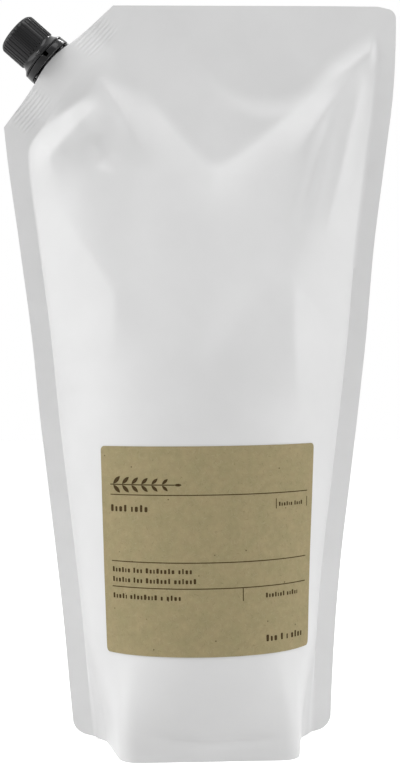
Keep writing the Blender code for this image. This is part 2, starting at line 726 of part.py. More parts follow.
def cap_outside():
    """The cap's outer section from its rim to its top, and which of its levels carry ribs."""
    rim = BAND_TOP + GAP
    profile = [(0.0, rim), (CAP_RIM_RADIUS, rim), (CAP_RIM_RADIUS, rim + CAP_RIM_HEIGHT)]
    flare = 3
    for index in range(1, flare + 1):
        share = index / flare
        z = rim + CAP_RIM_HEIGHT + (WAIST_HEIGHT - rim - CAP_RIM_HEIGHT) * share
        profile.append((WAIST_RADIUS + (CAP_RIM_RADIUS - WAIST_RADIUS) * (1.0 - share) ** 1.8, z))
    ribbed = [len(profile), len(profile) + 1]
    profile.append((GRIP_RADIUS, WAIST_HEIGHT + 0.5 * MM))
    profile.append((GRIP_RADIUS, CAP_TOP - CAP_TOP_ROUNDING))
    for angle in (35, 65, 90):
        turn = math.radians(angle)
        z = CAP_TOP - CAP_TOP_ROUNDING + CAP_TOP_ROUNDING * math.sin(turn)
        profile.append((GRIP_RADIUS - CAP_TOP_ROUNDING * (1.0 - math.cos(turn)), z))
    profile.append((0.0, CAP_TOP))
    return profile, ribbed


def make_cap(finish):
    """The ribbed screw cap, open below, with its thread inside."""
    profile, ribbed = cap_outside()

    def ribs(level, index):
        return RIB_HEIGHT if level in ribbed and index % 4 in (0, 1) else 0.0

    place = spout_matrix()
    cap = add_object("screw_cap", turned("screw_cap", profile, RIB_COUNT * 4, ribs), finish, place)
    rim = BAND_TOP + GAP
    inner = NECK_RADIUS + THREAD_DEPTH + GAP
    wide = CAP_RIM_RADIUS - CAP_WALL
    top = CAP_TOP - CAP_TOP_WALL
    hollow = [(0.0, rim - MM), (wide, rim - MM), (wide, rim + HOLLOW_STEP_BOTTOM)]
    hollow += [(inner, WAIST_HEIGHT - HOLLOW_STEP_TOP), (inner, top), (0.0, top)]
    cavity = cutter("cap_cavity", turned("cap_cavity", hollow, 36), place)
    boolean(cap, cavity, "DIFFERENCE")
    ridge = cutter("cap_thread", thread("cap_thread", inner, -1.0, 0.5), place)
    boolean(cap, ridge, "UNION")
    return cap


def make_disc(finish):
    """The sealing disc between the neck's lip and the cap."""
    radius = NECK_RADIUS + THREAD_DEPTH - 0.2 * MM
    bottom = NECK_LENGTH + GAP
    top = bottom + DISC_THICKNESS
    profile = [(0.0, bottom), (radius, bottom), (radius, top), (0.0, top)]
    return add_object("cap_disc", turned("cap_disc", profile, 32), finish, spout_matrix())


def main():
    clear_scene()
    film = material("film", FILM_COLOUR, 0.45)
    paper = material("paper", PAPER_COLOUR, 0.9)
    black = material("black_plastic", BLACK_COLOUR, 0.25)
    foam = material("foam", DISC_COLOUR, 0.7)
    make_pouch(film)
    make_label(paper)
    make_spout(black)
    make_band(black)
    make_cap(black)
    make_disc(foam)


main()
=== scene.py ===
"""Looks of the refill pouch: its film with folds, the kraft label, and the black spout, band and cap.

Metres, +Z up, the front faces -Y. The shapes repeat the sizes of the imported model.
"""

import math

import bmesh
import bpy
import numpy as np
from mathutils import Matrix, Vector


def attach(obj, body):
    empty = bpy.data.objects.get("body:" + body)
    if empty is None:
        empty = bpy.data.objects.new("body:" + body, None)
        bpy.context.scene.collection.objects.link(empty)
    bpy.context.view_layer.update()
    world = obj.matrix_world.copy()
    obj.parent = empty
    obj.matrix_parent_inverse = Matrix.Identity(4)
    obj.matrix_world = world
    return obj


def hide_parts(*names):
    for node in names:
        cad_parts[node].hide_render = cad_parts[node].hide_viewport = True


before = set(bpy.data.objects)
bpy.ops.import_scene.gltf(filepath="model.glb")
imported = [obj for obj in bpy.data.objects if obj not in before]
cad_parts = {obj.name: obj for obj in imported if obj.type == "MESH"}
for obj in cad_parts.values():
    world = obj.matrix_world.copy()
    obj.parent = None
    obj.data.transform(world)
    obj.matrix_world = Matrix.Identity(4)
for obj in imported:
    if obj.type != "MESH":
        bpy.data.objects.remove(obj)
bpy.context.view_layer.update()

MM = 0.001
GAP = 0.3 * MM

# The pouch: its outer sizes, then its outline and depth as shares of them, from the ground upwards
POUCH_HEIGHT = 293.0 * MM
POUCH_WIDTH = 160.0 * MM
POUCH_DEPTH = 84.4 * MM
HEIGHT_SHARES = np.array([0.0, 0.075, 0.147, 0.246, 0.341, 0.444, 0.539, 0.669, 0.802, 0.881, 0.959, 1.024])
HEIGHTS = POUCH_HEIGHT * HEIGHT_SHARES
LEFT_SHARES = np.array([0.618, 0.645, 0.669, 0.708, 0.749, 0.793, 0.828, 0.891, 0.958, 0.985, 1.0, 1.0])
RIGHT_SHARES = np.array([0.663, 0.674, 0.689, 0.720, 0.761, 0.805, 0.843, 0.885, 0.948, 0.985, 1.0, 1.0])
DEPTH_SHARES = np.array([0.936, 0.991, 1.0, 0.976, 0.922, 0.860, 0.791, 0.652, 0.438, 0.320, 0.190, 0.0])
LEFT_HALF = POUCH_WIDTH / 2 * LEFT_SHARES
RIGHT_HALF = POUCH_WIDTH / 2 * RIGHT_SHARES
HALF_DEPTH = POUCH_DEPTH / 2 * DEPTH_SHARES
FILM = 0.36 * MM
FIN_WIDTH = 7.5 * MM
TOP_ROUNDING = 4.0 * MM
TOP_MIDDLE_DROP = 0.3 * MM
TOP_SLANT = math.radians(0.9)
TOP_CORNER_CUTS = (12, 28, 45, 62, 78)
FIN_CORNER_CUTS = (12, 28, 45, 62, 74)

# The flat edges wave gently out of their plane
WAVE_HEIGHT = 0.5 * MM
WAVE_STEP = 38.0 * MM
WAVE_START = 45.0 * MM
WAVE_REACH = 25.0 * MM

# The base: its plan turns from an arc into a box with pinched fins, over a recess inside the skirt
BOX_FROM_HEIGHT = 46.0 * MM
BOX_FULL_HEIGHT = 6.0 * MM
BOX_SIDE_ANGLE = math.radians(80.0)
BOX_FIN_ANGLE = math.radians(30.0)
BOX_CORNER = (0.36, 0.56)
BOX_PINCH = (0.85, 1.0)
SKIRT_HEIGHT = 8.0 * MM
SAG_HEIGHT = 1.6 * MM
GUSSET_WALL = 0.5 * MM
GUSSET_TAPER = 40.0 * MM
# Steps inward, as shares of the room, each with its height as a share of the skirt's
GUSSET_LEVELS = [(0.0, 0.0), (0.0, 0.5), (0.0, 1.0), (0.02, 1.12), (0.06, 1.05), (0.14, 0.85)]
GUSSET_LEVELS += [(0.3, 0.5), (0.5, 0.25), (0.75, 0.06), (1.0, 0.0)]
FIN_CORNER_RADIUS = 7.0 * MM
FIN_FOOT_HEIGHT = 1.6 * MM

# The cut corner and the spout's place in it, from the pouch's widest side and from its top
SPOUT_TILT = math.radians(-49.0)
SPOUT_FROM_SIDE = 21.8 * MM
SPOUT_BELOW_TOP = 25.0 * MM
CUT_TOP_FROM_SIDE = 46.6 * MM
CUT_SIDE_FROM_SIDE = 2.8 * MM
CUT_SIDE_BELOW_TOP = 49.6 * MM
SPOUT_BASE = Vector((SPOUT_FROM_SIDE - POUCH_WIDTH / 2, 0.0, POUCH_HEIGHT - SPOUT_BELOW_TOP))
CUT_TOP = (CUT_TOP_FROM_SIDE - POUCH_WIDTH / 2, POUCH_HEIGHT)
CUT_SIDE = (CUT_SIDE_FROM_SIDE - POUCH_WIDTH / 2, POUCH_HEIGHT - CUT_SIDE_BELOW_TOP)
CUT_RISE = 1.25 * MM
CORNER_SEAL = 11.0 * MM
CORNER_BLEND = 4.0 * MM

# The spout: a boat-shaped foot between the films, an oval flange, a retaining bead and a threaded neck
FOOT_HALF_LENGTH = 18.0 * MM
FOOT_HALF_THICKNESS = 5.6 * MM
FOOT_TIP_THICKNESS = 0.5 * MM
FOOT_DEPTH = 11.0 * MM
FOOT_TOP = 1.6 * MM
FOOT_FULLNESS = 1.3
FOOT_REACH = 3.0 * MM
FOOT_CLEARANCE = 0.6 * MM
FOOT_FADE = 26.0 * MM
FOOT_FADE_BEND = 1.5
STEM_RADIUS = 5.4 * MM
FLANGE_RADIUS = 10.55 * MM
FLANGE_HALF_DEPTH = 5.5 * MM
FLANGE_THICKNESS = 0.9 * MM
CUT_FLAT_HALF = FLANGE_RADIUS + GAP / 2
NECK_RADIUS = 6.2 * MM
NECK_LENGTH = 16.4 * MM
BORE_RADIUS = 4.8 * MM
BEAD_RADIUS = 8.4 * MM
BEAD_BOTTOM = 1.6 * MM
BEAD_TOP = 2.6 * MM
THREAD_PITCH = 3.0 * MM
THREAD_DEPTH = 0.7 * MM
THREAD_ROOT_WIDTH = 1.2 * MM
THREAD_CREST_WIDTH = 0.6 * MM
THREAD_BOTTOM = 8.4 * MM
THREAD_TURNS = 2.0
THREAD_SINK = 0.3 * MM
THREAD_STEPS_A_TURN = 64
THREAD_RUN_OUTS_A_TURN = 6.0

# The tamper band
BAND_BOTTOM_RADIUS = FLANGE_RADIUS
BAND_TOP_RADIUS = 10.38 * MM
BAND_WALL = 1.1 * MM
BAND_TOP = 4.1 * MM
BAND_HOOK_RADIUS = 7.0 * MM
BAND_HOOK_HEIGHT = 0.8 * MM
NOTCH_WIDTH = 1.7 * MM
NOTCH_DEPTH = 1.7 * MM

# The screw cap: a flared rim, a ribbed grip and a rounded top
CAP_RIM_RADIUS = 10.35 * MM
CAP_RIM_HEIGHT = 0.6 * MM
WAIST_RADIUS = 8.35 * MM
WAIST_HEIGHT = 7.9 * MM
GRIP_RADIUS = 8.4 * MM
GRIP_STEPS = 6
RIB_HEIGHT = 0.36 * MM
RIB_COUNT = 30
RIB_HALF_SHARE = 0.31
RIB_FLANK_SHARE = 0.16
POINTS_A_RIB = 14
FLARE_STEPS = 12
FLARE_BEND = 1.8
CAP_TOP = 19.9 * MM
CAP_TOP_WALL = 1.6 * MM
CAP_WALL = 1.2 * MM
CAP_TOP_ROUNDING = 1.9 * MM

# The label on the front, a little to the right of its middle, and the ink shapes printed on it
LABEL_HALF_WIDTH = 45.7 * MM
LABEL_SHIFT = 2.2 * MM
LABEL_SLANT = math.radians(0.5)
LABEL_BOTTOM = 39.6 * MM
LABEL_TOP = 117.9 * MM
LABEL_STAND = 0.12 * MM
LABEL_THICKNESS = 0.16 * MM
LABEL_CORNER = 1.7 * MM
SHEET_CELL = 2.4 * MM
CURVE_POINTS = 241
PRINT_MARGIN = 4.4 * MM
PRINT_RIGHT_MARGIN = 3.6 * MM
INK_THICKNESS = 0.02 * MM
INK_STAND = LABEL_STAND + LABEL_THICKNESS + INK_THICKNESS
RULE_WIDTH = 0.35 * MM
RULES_DOWN = (18.4 * MM, 43.5 * MM, 53.1 * MM)
DIVIDER_ACROSS = 56.6 * MM
DIVIDER_HEIGHT = 4.8 * MM
BRACKET_WIDTH = 16.8 * MM
BRACKET_HEIGHT = 3.8 * MM
BRACKET_DOWN = 24.2 * MM
RIGHT_BLOCK_WIDTH = 21.5 * MM
PRINT_SLANT = math.radians(0.6)
# The marks' widths, heights and gaps are shares of their row's size
MARK_WIDTHS = (0.46, 0.36, 0.50, 0.40, 0.28, 0.48, 0.38)
MARK_HEIGHTS = (1.0, 0.74, 0.76, 0.98, 0.74, 0.76, 1.0, 0.74, 0.74)
MARK_GAP = 0.34
GROUP_GAP = 0.45
UV_SIZE = 0.1

# Surfaces. Where the film is double, on the seals, painted light lightens it, most at the foot of the side
# seals, to lift the shade the bulging body casts there
FILM_TONE = (0.708, 0.738)
SEAL_PAINTED_LIFT = 0.085
SEAL_PAINTED_LIFT_TOP = 240.0 * MM
DOUBLE_FILM = (0.5 * MM, 1.4 * MM)
FILM_ROUGHNESS = (0.42, 0.50)
# Pressed lines in the corner seal: they fade in and out between two places along the edge, and below it
SEAL_LINE_STEP = 1.5 * MM
SEAL_LINES_START = (10.0 * MM, 13.0 * MM)
SEAL_LINES_END = (26.0 * MM, 29.0 * MM)
SEAL_LINES_BOTTOM = (-10.5 * MM, -9.5 * MM)
INK_COLOUR = (0.062, 0.040, 0.016, 1.0)
BLACK_COLOUR = (0.005, 0.005, 0.0055, 1.0)
PAPER_OLIVE = (0.332, 0.286, 0.152, 1.0)
PAPER_TAN = (0.372, 0.304, 0.166, 1.0)
PAPER_DEEP = (0.265, 0.215, 0.120, 1.0)
PAPER_PALE = (0.460, 0.400, 0.260, 1.0)
PAPER_FLECK = (0.095, 0.066, 0.032, 1.0)
FIBRE_LENGTH = 2.6 * MM
FIBRE_WIDTH = 0.36 * MM
FIBRE_STRENGTH = 0.30

# The taut film under the top: it lies nearly flat inside an upper V, and tilts back above a lower one.
# Each V is the x of its tip, how far it is below the top, and the slopes of its left and right arms.
UPPER_VEE = (6.0 * MM, 65.5 * MM, 1.24, 0.86)
UPPER_VEE_ROUNDING = 5.0 * MM
UPPER_VEE_RUN = 9.0 * MM
INNER_START = 9.0 * MM
INNER_RUN = 60.0 * MM
INNER_BEND = 1.9
SMILE_MIDDLE = (27.0 * MM, 36.0 * MM)
SMILE_BEND = 21.5
SMILE_RUN = 10.0 * MM
LOWER_VEE = (-0.7 * MM, 141.5 * MM, 1.0, 1.12)
LOWER_VEE_ROUNDING = 3.0 * MM
LOWER_VEE_TILT = 0.26
LOWER_VEE_DROP = 8.0 * MM
LOWER_VEE_REACH = (24.0 * MM, 50.0 * MM)

# Ridges, positive, and valleys, negative: points across and below the top, half width and height, in mm
FOLDS = [
    ([(-54.0, 10.0), (-40.0, 31.0), (-30.0, 46.0), (-20.0, 69.0)], 12.0, 5.0),
    ([(-68.0, 68.0), (-60.0, 63.0), (-50.0, 52.0), (-38.0, 38.0)], 17.0, 4.5),
    ([(-44.0, 54.0), (-35.0, 67.0)], 9.0, -1.5),
    ([(68.0, 18.0), (50.0, 43.0), (32.0, 67.0)], 15.0, 3.2),
    ([(58.0, 30.0), (47.0, 59.0), (42.0, 76.0), (35.0, 100.0)], 6.0, -1.6),
    ([(69.0, 20.0), (60.0, 51.0), (57.0, 64.0), (48.0, 98.0)], 6.0, 1.8),
    ([(-58.0, 75.0), (-50.5, 92.0), (-39.5, 107.0), (-34.0, 117.0), (-34.0, 145.0)], 14.0, 1.8),
    ([(50.0, 111.0), (35.5, 115.0), (35.0, 127.0), (37.0, 165.0)], 13.0, 1.6),
    ([(-42.0, 64.0), (-32.0, 68.0)], 4.0, -0.9),
]
# Small folds and pressed lines, in the same form
FINE_FOLDS = [
    ([(-27.0, 282.6), (-2.0, 285.6), (33.0, 284.4)], 3.0, -1.8),
    ([(44.0, 37.0), (57.0, 27.0), (71.0, 17.0), (82.0, 11.0)], 8.0, 2.8),
    ([(-53.0, 144.0), (-50.0, 156.0)], 7.0, 0.7),
    ([(-57.0, 36.0), (-49.0, 28.0)], 4.0, -0.8),
]
FINE_EASE = 3.0 * MM
FOLD_ROUNDING = 1.0 * MM
FOLD_TAPER = 0.35
PANEL_EASE = 9.0 * MM
FOOT_BLEND = 1.2 * MM

# How strongly the floor glows where it is seen, and how strongly the world lights what is matte
FLOOR_LIFT = 0.7
WORLD_LIGHT = 0.355

# The camera looks at a point in the middle of the pack; its lens is in mm
CAMERA_AIM = (0.5 * MM, 0.0, 141.2 * MM)
CAMERA_DISTANCE = 585.0 * MM
CAMERA_TURN = math.radians(4.2)
CAMERA_LENS = 68.45

# The film's grid: the lowest rows, in mm, then even rows to just past the top, and columns from the left
LOW_ROWS = (0.0, 0.6, 1.6, 3.0, 4.5, 6.0, 7.2, 8.0, 8.8, 10.0, 11.5, 13.5)
EVEN_ROWS_START = 15.5 * MM
EVEN_ROWS_END = POUCH_HEIGHT + 1.0 * MM
EVEN_ROWS = 186
LEFT_COLUMNS = 36
PANEL_COLUMNS = 116
RIGHT_COLUMNS = 6


def smooth_step(value):
    value = np.clip(value, 0.0, 1.0)
    return value * value * (3.0 - 2.0 * value)


def smooth_curve(height, values):
    """A smooth curve through the values given at HEIGHTS, for one height or an array."""
    slopes = np.gradient(values, HEIGHTS)
    height = np.asarray(height, float)
    index = np.clip(np.searchsorted(HEIGHTS, height) - 1, 0, len(HEIGHTS) - 2)
    span = HEIGHTS[index + 1] - HEIGHTS[index]
    t = (height - HEIGHTS[index]) / span
    start = (1 + 2 * t) * (1 - t) ** 2 * values[index] + t * (1 - t) ** 2 * slopes[index] * span
    end = t * t * (3 - 2 * t) * values[index + 1] + t * t * (t - 1) * slopes[index + 1] * span
    return start + end


def box_section():
    """The base's plan from the middle of the front to a fin, as shares of its width and depth."""
    share = np.linspace(0.0, 1.0, 401)
    turn = smooth_step((share - BOX_CORNER[0]) / (BOX_CORNER[1] - BOX_CORNER[0]))
    pinch = smooth_step((share - BOX_PINCH[0]) / (BOX_PINCH[1] - BOX_PINCH[0]))
    angle = BOX_SIDE_ANGLE * turn - (BOX_SIDE_ANGLE - BOX_FIN_ANGLE) * pinch
    across = np.concatenate([[0.0], np.cumsum(np.cos(angle))[:-1]])
    along = np.concatenate([[0.0], np.cumsum(np.sin(angle))[:-1]])
    return share, across / across[-1], 1.0 - along / along[-1]


BOX_SHARE, BOX_ACROSS, BOX_OUT = box_section()


def cut_line_inner(height):
    """The x of the inner edge of the corner's seal at a height."""
    run = CUT_TOP[0] - CUT_SIDE[0]
    rise = CUT_TOP[1] - CUT_SIDE[1]
    length = math.hypot(run, rise)
    start_x = CUT_SIDE[0] + CORNER_SEAL * rise / length
    start_z = CUT_SIDE[1] - CORNER_SEAL * run / length
    return start_x + (height - start_z) * run / rise


def panel_limits(height):
    """The x of the bulging panel's left and right ends at a height, between the seals."""
    left = -(smooth_curve(height, LEFT_HALF) - FIN_WIDTH)
    cut = cut_line_inner(height)
    left = 0.5 * (left + cut + np.hypot(left - cut, CORNER_BLEND))
    right = smooth_curve(height, RIGHT_HALF) - FIN_WIDTH
    return left, right


def section(share, half_chord, depth, box):
    """The panel's section at a share, -1 to 1, of its arc: the shares of half chord and depth."""
    angle = np.maximum(2.0 * np.arctan2(depth, half_chord), 0.001)
    arc_across = np.sin(angle * share) / np.sin(angle)
    arc_out = (np.cos(angle * share) - np.cos(angle)) / (1.0 - np.cos(angle))
    box_across = np.copysign(np.interp(np.abs(share), BOX_SHARE, BOX_ACROSS), share)
    box_out = np.interp(np.abs(share), BOX_SHARE, BOX_OUT)
    return arc_across + (box_across - arc_across) * box, arc_out + (box_out - arc_out) * box


def in_corner(x, z):
    """Place along the cut edge and depth behind it."""
    dx = x - SPOUT_BASE.x
    dz = z - SPOUT_BASE.z
    along = dx * math.cos(SPOUT_TILT) - dz * math.sin(SPOUT_TILT)
    behind = -(dx * math.sin(SPOUT_TILT) + dz * math.cos(SPOUT_TILT))
    return along, behind


def foot_thickness(share):
    """Half the foot's thickness at a share, 0 to 1, of the way from its middle to its tip."""
    swell = (FOOT_HALF_THICKNESS - FOOT_TIP_THICKNESS) * (1.0 - share**2) ** FOOT_FULLNESS
    return FOOT_TIP_THICKNESS + swell


def foot_bulge(x, z):
    """How far the film stands out over the spout's foot, fading behind it."""
    along, behind = in_corner(x, z)
    thickness = foot_thickness(np.minimum(np.abs(along) / FOOT_HALF_LENGTH, 1.0))
    edge = smooth_step((FOOT_HALF_LENGTH + FOOT_REACH - np.abs(along)) / FOOT_REACH)
    past = np.maximum(behind - FOOT_DEPTH - FOOT_CLEARANCE, 0.0)
    fade = np.maximum(1.0 - past / FOOT_FADE, 0.0) ** FOOT_FADE_BEND
    return (thickness + GAP) * edge * fade


def fold_height(x, z, folds):
    """The folds' height at each point. Each fold is sharp along its line and fades at its ends."""
    total = np.zeros_like(x)
    for corners, half_width, height in folds:
        line = [(across * MM, POUCH_HEIGHT - down * MM) for across, down in corners]
        pieces = list(zip(line, line[1:]))
        length = sum(math.dist(start, end) for start, end in pieces)
        nearest = np.full_like(x, length + POUCH_HEIGHT)
        place = np.zeros_like(x)
        passed = 0.0
        for start, end in pieces:
            run, rise = end[0] - start[0], end[1] - start[1]
            t = np.clip(((x - start[0]) * run + (z - start[1]) * rise) / (run**2 + rise**2), 0.0, 1.0)
            distance = np.hypot(x - start[0] - t * run, z - start[1] - t * rise)
            place = np.where(distance < nearest, passed + t * math.hypot(run, rise), place)
            nearest = np.minimum(nearest, distance)
            passed += math.hypot(run, rise)
        taper = smooth_step(np.minimum(place, length - place) / (FOLD_TAPER * length))
        reach = np.hypot(nearest, FOLD_ROUNDING) / (half_width * MM)
        total += height * MM * taper * np.clip(1.0 - reach, 0.0, 1.0) ** 2
    return total


def below_vee(x, z, vee, rounding):
    """How far a point lies below a V's line, which is rounded at its tip."""
    tip_x, tip_down, left_slope, right_slope = vee
    dx = x - tip_x
    arm = np.where(dx < 0.0, -dx * left_slope, dx * right_slope)
    return POUCH_HEIGHT - tip_down + np.hypot(arm, rounding) - rounding - z


def soft_positive(value, softness):
    return softness * np.logaddexp(0.0, value / softness)


def lower_vee_drop(x, z):
    """How far the film falls back above the lower V, least towards the sides."""
    above = soft_positive(-below_vee(x, z, LOWER_VEE, LOWER_VEE_ROUNDING), LOWER_VEE_ROUNDING)
    near, far = LOWER_VEE_REACH
    middle = smooth_step((far - np.abs(x)) / (far - near))
    return middle * LOWER_VEE_DROP * (1.0 - np.exp(-LOWER_VEE_TILT * above / LOWER_VEE_DROP))


def inner_depth(x, z):
    """Depth of the flat film inside the upper V, with its smile-shaped step below the top."""
    down = POUCH_HEIGHT - z
    plane = INNER_BEND * np.clip(down - INNER_START, 0.0, INNER_RUN) ** 2
    smile_down = SMILE_MIDDLE[1] - SMILE_BEND * (x - SMILE_MIDDLE[0]) ** 2
    return plane * smooth_step((down - smile_down) / SMILE_RUN)


def film_front(share, height):
    """Points of the front panel's film: x and depth for arrays of share and height."""
    left, right = panel_limits(height)
    half_chord = (right - left) / 2
    depth = np.maximum(smooth_curve(height, HALF_DEPTH), 0.0)
    box = smooth_step((BOX_FROM_HEIGHT - height) / (BOX_FROM_HEIGHT - BOX_FULL_HEIGHT))
    across, out = section(share, half_chord, depth, box)
    x = (left + right) / 2 + half_chord * across
    ease = smooth_step(np.minimum(x - left, right - x) / PANEL_EASE)
    body = depth * np.maximum(out, 0.0) + (fold_height(x, height, FOLDS) - lower_vee_drop(x, height)) * ease
    inner = inner_depth(x, height) * ease
    below = soft_positive(below_vee(x, height, UPPER_VEE, UPPER_VEE_ROUNDING), MM)
    body = body + (inner - body) * np.exp(-below / UPPER_VEE_RUN)
    foot = foot_bulge(x, height)
    joined = 0.5 * (body + foot + np.hypot(body - foot, np.minimum(FOOT_BLEND, foot)))
    near_seal = smooth_step(np.minimum(x - left, right - x) / FINE_EASE)
    fine = fold_height(x, height, FINE_FOLDS) * near_seal
    return x, FILM / 2 + np.maximum(joined + fine, 0.0)


def film_grid():
    """x, depth and height of every point of one face, rows upwards and columns from left to right."""
    even = np.linspace(EVEN_ROWS_START, EVEN_ROWS_END, EVEN_ROWS)
    heights = np.concatenate([np.array(LOW_ROWS) * MM, even])
    xs, depths = [], []
    for height in heights:
        left, right = panel_limits(height)
        outer_left = -smooth_curve(height, LEFT_HALF)
        outer_right = smooth_curve(height, RIGHT_HALF)
        left_x = outer_left + (left - outer_left) * np.arange(LEFT_COLUMNS) / LEFT_COLUMNS
        left_depth = FILM / 2 + foot_bulge(left_x, np.full_like(left_x, height))
        share = np.linspace(-1.0, 1.0, PANEL_COLUMNS + 1)
        panel_x, panel_depth = film_front(share, np.full_like(share, height))
        right_x = right + (outer_right - right) * np.arange(1, RIGHT_COLUMNS + 1) / RIGHT_COLUMNS
        xs.append(np.concatenate([left_x, panel_x, right_x]))
        depths.append(np.concatenate([left_depth, panel_depth, np.full(RIGHT_COLUMNS, FILM / 2)]))
    return np.array(xs), np.array(depths), heights


def plate_bend(x, z):
    """How the flat edges wave out of their plane, the same for both faces."""
    near_edge = smooth_step((np.abs(x) - WAVE_START) / WAVE_REACH)
    return WAVE_HEIGHT * np.sin(z / WAVE_STEP) * near_edge


def make_mesh(name, points, faces, smooth_angle=None):
    data = bpy.data.meshes.new(name)
    data.from_pydata([tuple(point) for point in points], [], faces)
    shape = bmesh.new()
    shape.from_mesh(data)
    bmesh.ops.recalc_face_normals(shape, faces=shape.faces)
    shape.to_mesh(data)
    shape.free()
    data.shade_smooth()
    if smooth_angle is not None:
        data.set_sharp_from_angle(angle=math.radians(smooth_angle))
    return data


def add_object(name, data):
    thing = bpy.data.objects.new(name, data)
    bpy.context.scene.collection.objects.link(thing)
    return thing


def add_piece(data, finish, body, node=None, matrix=None):
    piece = add_object(data.name, data)
    if matrix is not None:
        piece.matrix_world = matrix
    data.materials.clear()
    data.materials.append(finish)
    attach(piece, body)
    if node:
        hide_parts(node)


def film_shell_mesh():
    """Front and back faces, joined round the edge, with the gusset under the base."""
    xs, depths, heights = film_grid()
    rows, columns = xs.shape
    zs = np.repeat(heights[:, None], columns, axis=1)
    bend = plate_bend(xs, zs)
    front = np.arange(rows * columns).reshape(rows, columns)
    back = front + rows * columns
    points = []
    for side in (-1.0, 1.0):
        ys = bend + side * depths
        points += zip(xs.ravel(), ys.ravel(), zs.ravel())
    faces = []
    for row in range(rows - 1):
        front_low, front_high = front[row], front[row + 1]
        back_low, back_high = back[row], back[row + 1]
        for left in range(columns - 1):
            right = left + 1
            faces.append((front_low[left], front_low[right], front_high[right], front_high[left]))
            faces.append((back_low[right], back_low[left], back_high[left], back_high[right]))
        faces.append((front_low[0], front_high[0], back_high[0], back_low[0]))
        faces.append((front_low[-1], back_low[-1], back_high[-1], front_high[-1]))
    for column in range(columns - 1):
        faces.append((front[-1, column], front[-1, column + 1], back[-1, column + 1], back[-1, column]))
    first, last = LEFT_COLUMNS, LEFT_COLUMNS + PANEL_COLUMNS
    for column in list(range(first)) + list(range(last, columns - 1)):
        faces.append((front[0, column], back[0, column], back[0, column + 1], front[0, column + 1]))
    add_gusset(points, faces, front[0, first : last + 1], back[0, first : last + 1])
    return points, faces


def add_gusset(points, faces, front_ids, back_ids):
    """The gusset's film: up inside the skirt, then sagging towards the middle."""
    middle_x = np.mean([points[index][0] for index in front_ids])
    places = [(-1.0, inward, rise) for inward, rise in GUSSET_LEVELS]
    places += [(1.0, inward, rise) for inward, rise in reversed(GUSSET_LEVELS[:-1])]
    strips = [list(front_ids)]
    for side, inward, rise in places:
        low = SAG_HEIGHT if inward > 0.0 else 0.0
        top = low + (SKIRT_HEIGHT - low) * rise
        strip = []
        for index in front_ids:
            x, y, _ = points[index]
            room = abs(y)
            inset = min(GUSSET_WALL, room * 0.6)
            narrow = (x - middle_x) * (1.0 - inset / GUSSET_TAPER)
            depth = (room - inset) * (1.0 - inward)
            points.append((middle_x + narrow, side * depth, top))
            strip.append(len(points) - 1)
        strips.append(strip)
    strips.append(list(back_ids))
    for near, far in zip(strips, strips[1:]):
        for index in range(len(near) - 1):
            faces.append((near[index], near[index + 1], far[index + 1], far[index]))


def whole(shape):
    return list(shape.verts) + list(shape.edges) + list(shape.faces)


def cut_plane(shape, point, outward, fill=True):
    """Cuts the shell back to a plane across X and Z, and closes the cut if asked."""
    normal = Vector((outward[0], 0.0, outward[1])).normalized()
    place = Vector((point[0], 0.0, point[1]))
    result = bmesh.ops.bisect_plane(
        shape, geom=whole(shape), dist=1e-7, plane_co=place, plane_no=normal, clear_outer=True
    )
    if fill:
        edges = [item for item in result["geom_cut"] if isinstance(item, bmesh.types.BMEdge)]
        border = [edge for edge in edges if edge.is_boundary]
        bmesh.ops.holes_fill(shape, edges=border, sides=0)


def round_corner(shape, centre, radius, side, up, angles):
    """Rounds a corner with cuts at some angles about its centre; side and up are 1 or -1."""
    for degrees in angles:
        c, s = side * math.cos(math.radians(degrees)), up * math.sin(math.radians(degrees))
        cut_plane(shape, (centre[0] + radius * c, centre[1] + radius * s), (c, s))


def trim_outline(shape):
    """The cut corner, the rounded corner at the top right, and the round feet of the side seals."""
    axis = (math.sin(SPOUT_TILT), math.cos(SPOUT_TILT))
    along = (axis[1], -axis[0])
    edge = (SPOUT_BASE.x - axis[0] * GAP / 2, SPOUT_BASE.z - axis[1] * GAP / 2)
    upper = (edge[0] + along[0] * CUT_FLAT_HALF, edge[1] + along[1] * CUT_FLAT_HALF)
    lower = (edge[0] - along[0] * CUT_FLAT_HALF, edge[1] - along[1] * CUT_FLAT_HALF)
    top = (0.0, POUCH_HEIGHT - TOP_MIDDLE_DROP)
    cut_plane(shape, top, (-math.sin(TOP_SLANT), math.cos(TOP_SLANT)))
    cut_plane(shape, upper, (upper[1] - CUT_TOP[1], CUT_TOP[0] - upper[0]))
    cut_plane(shape, lower, (CUT_SIDE[1] - lower[1], lower[0] - CUT_SIDE[0]))
    cut_plane(shape, edge, axis, fill=False)
    top_z = POUCH_HEIGHT - TOP_ROUNDING
    centre = (smooth_curve(top_z, RIGHT_HALF) - TOP_ROUNDING, top_z)
    round_corner(shape, centre, TOP_ROUNDING, 1.0, 1.0, TOP_CORNER_CUTS)
    foot_z = FIN_FOOT_HEIGHT + FIN_CORNER_RADIUS
    for side, half in ((-1.0, LEFT_HALF), (1.0, RIGHT_HALF)):
        centre = (side * (smooth_curve(foot_z, half) - FIN_CORNER_RADIUS), foot_z)
        round_corner(shape, centre, FIN_CORNER_RADIUS, side, -1.0, FIN_CORNER_CUTS)


def raise_cut_edge(shape):
    """The film's edge rises in an arc over the middle of the flange."""
    axis = Vector((math.sin(SPOUT_TILT), 0.0, math.cos(SPOUT_TILT)))
    for vertex in shape.verts:
        along, behind = in_corner(vertex.co.x, vertex.co.z)
        if abs(behind - GAP / 2) < 0.01 * MM and abs(along) < CUT_FLAT_HALF:
            vertex.co += axis * CUT_RISE * (1.0 - (along / CUT_FLAT_HALF) ** 2)


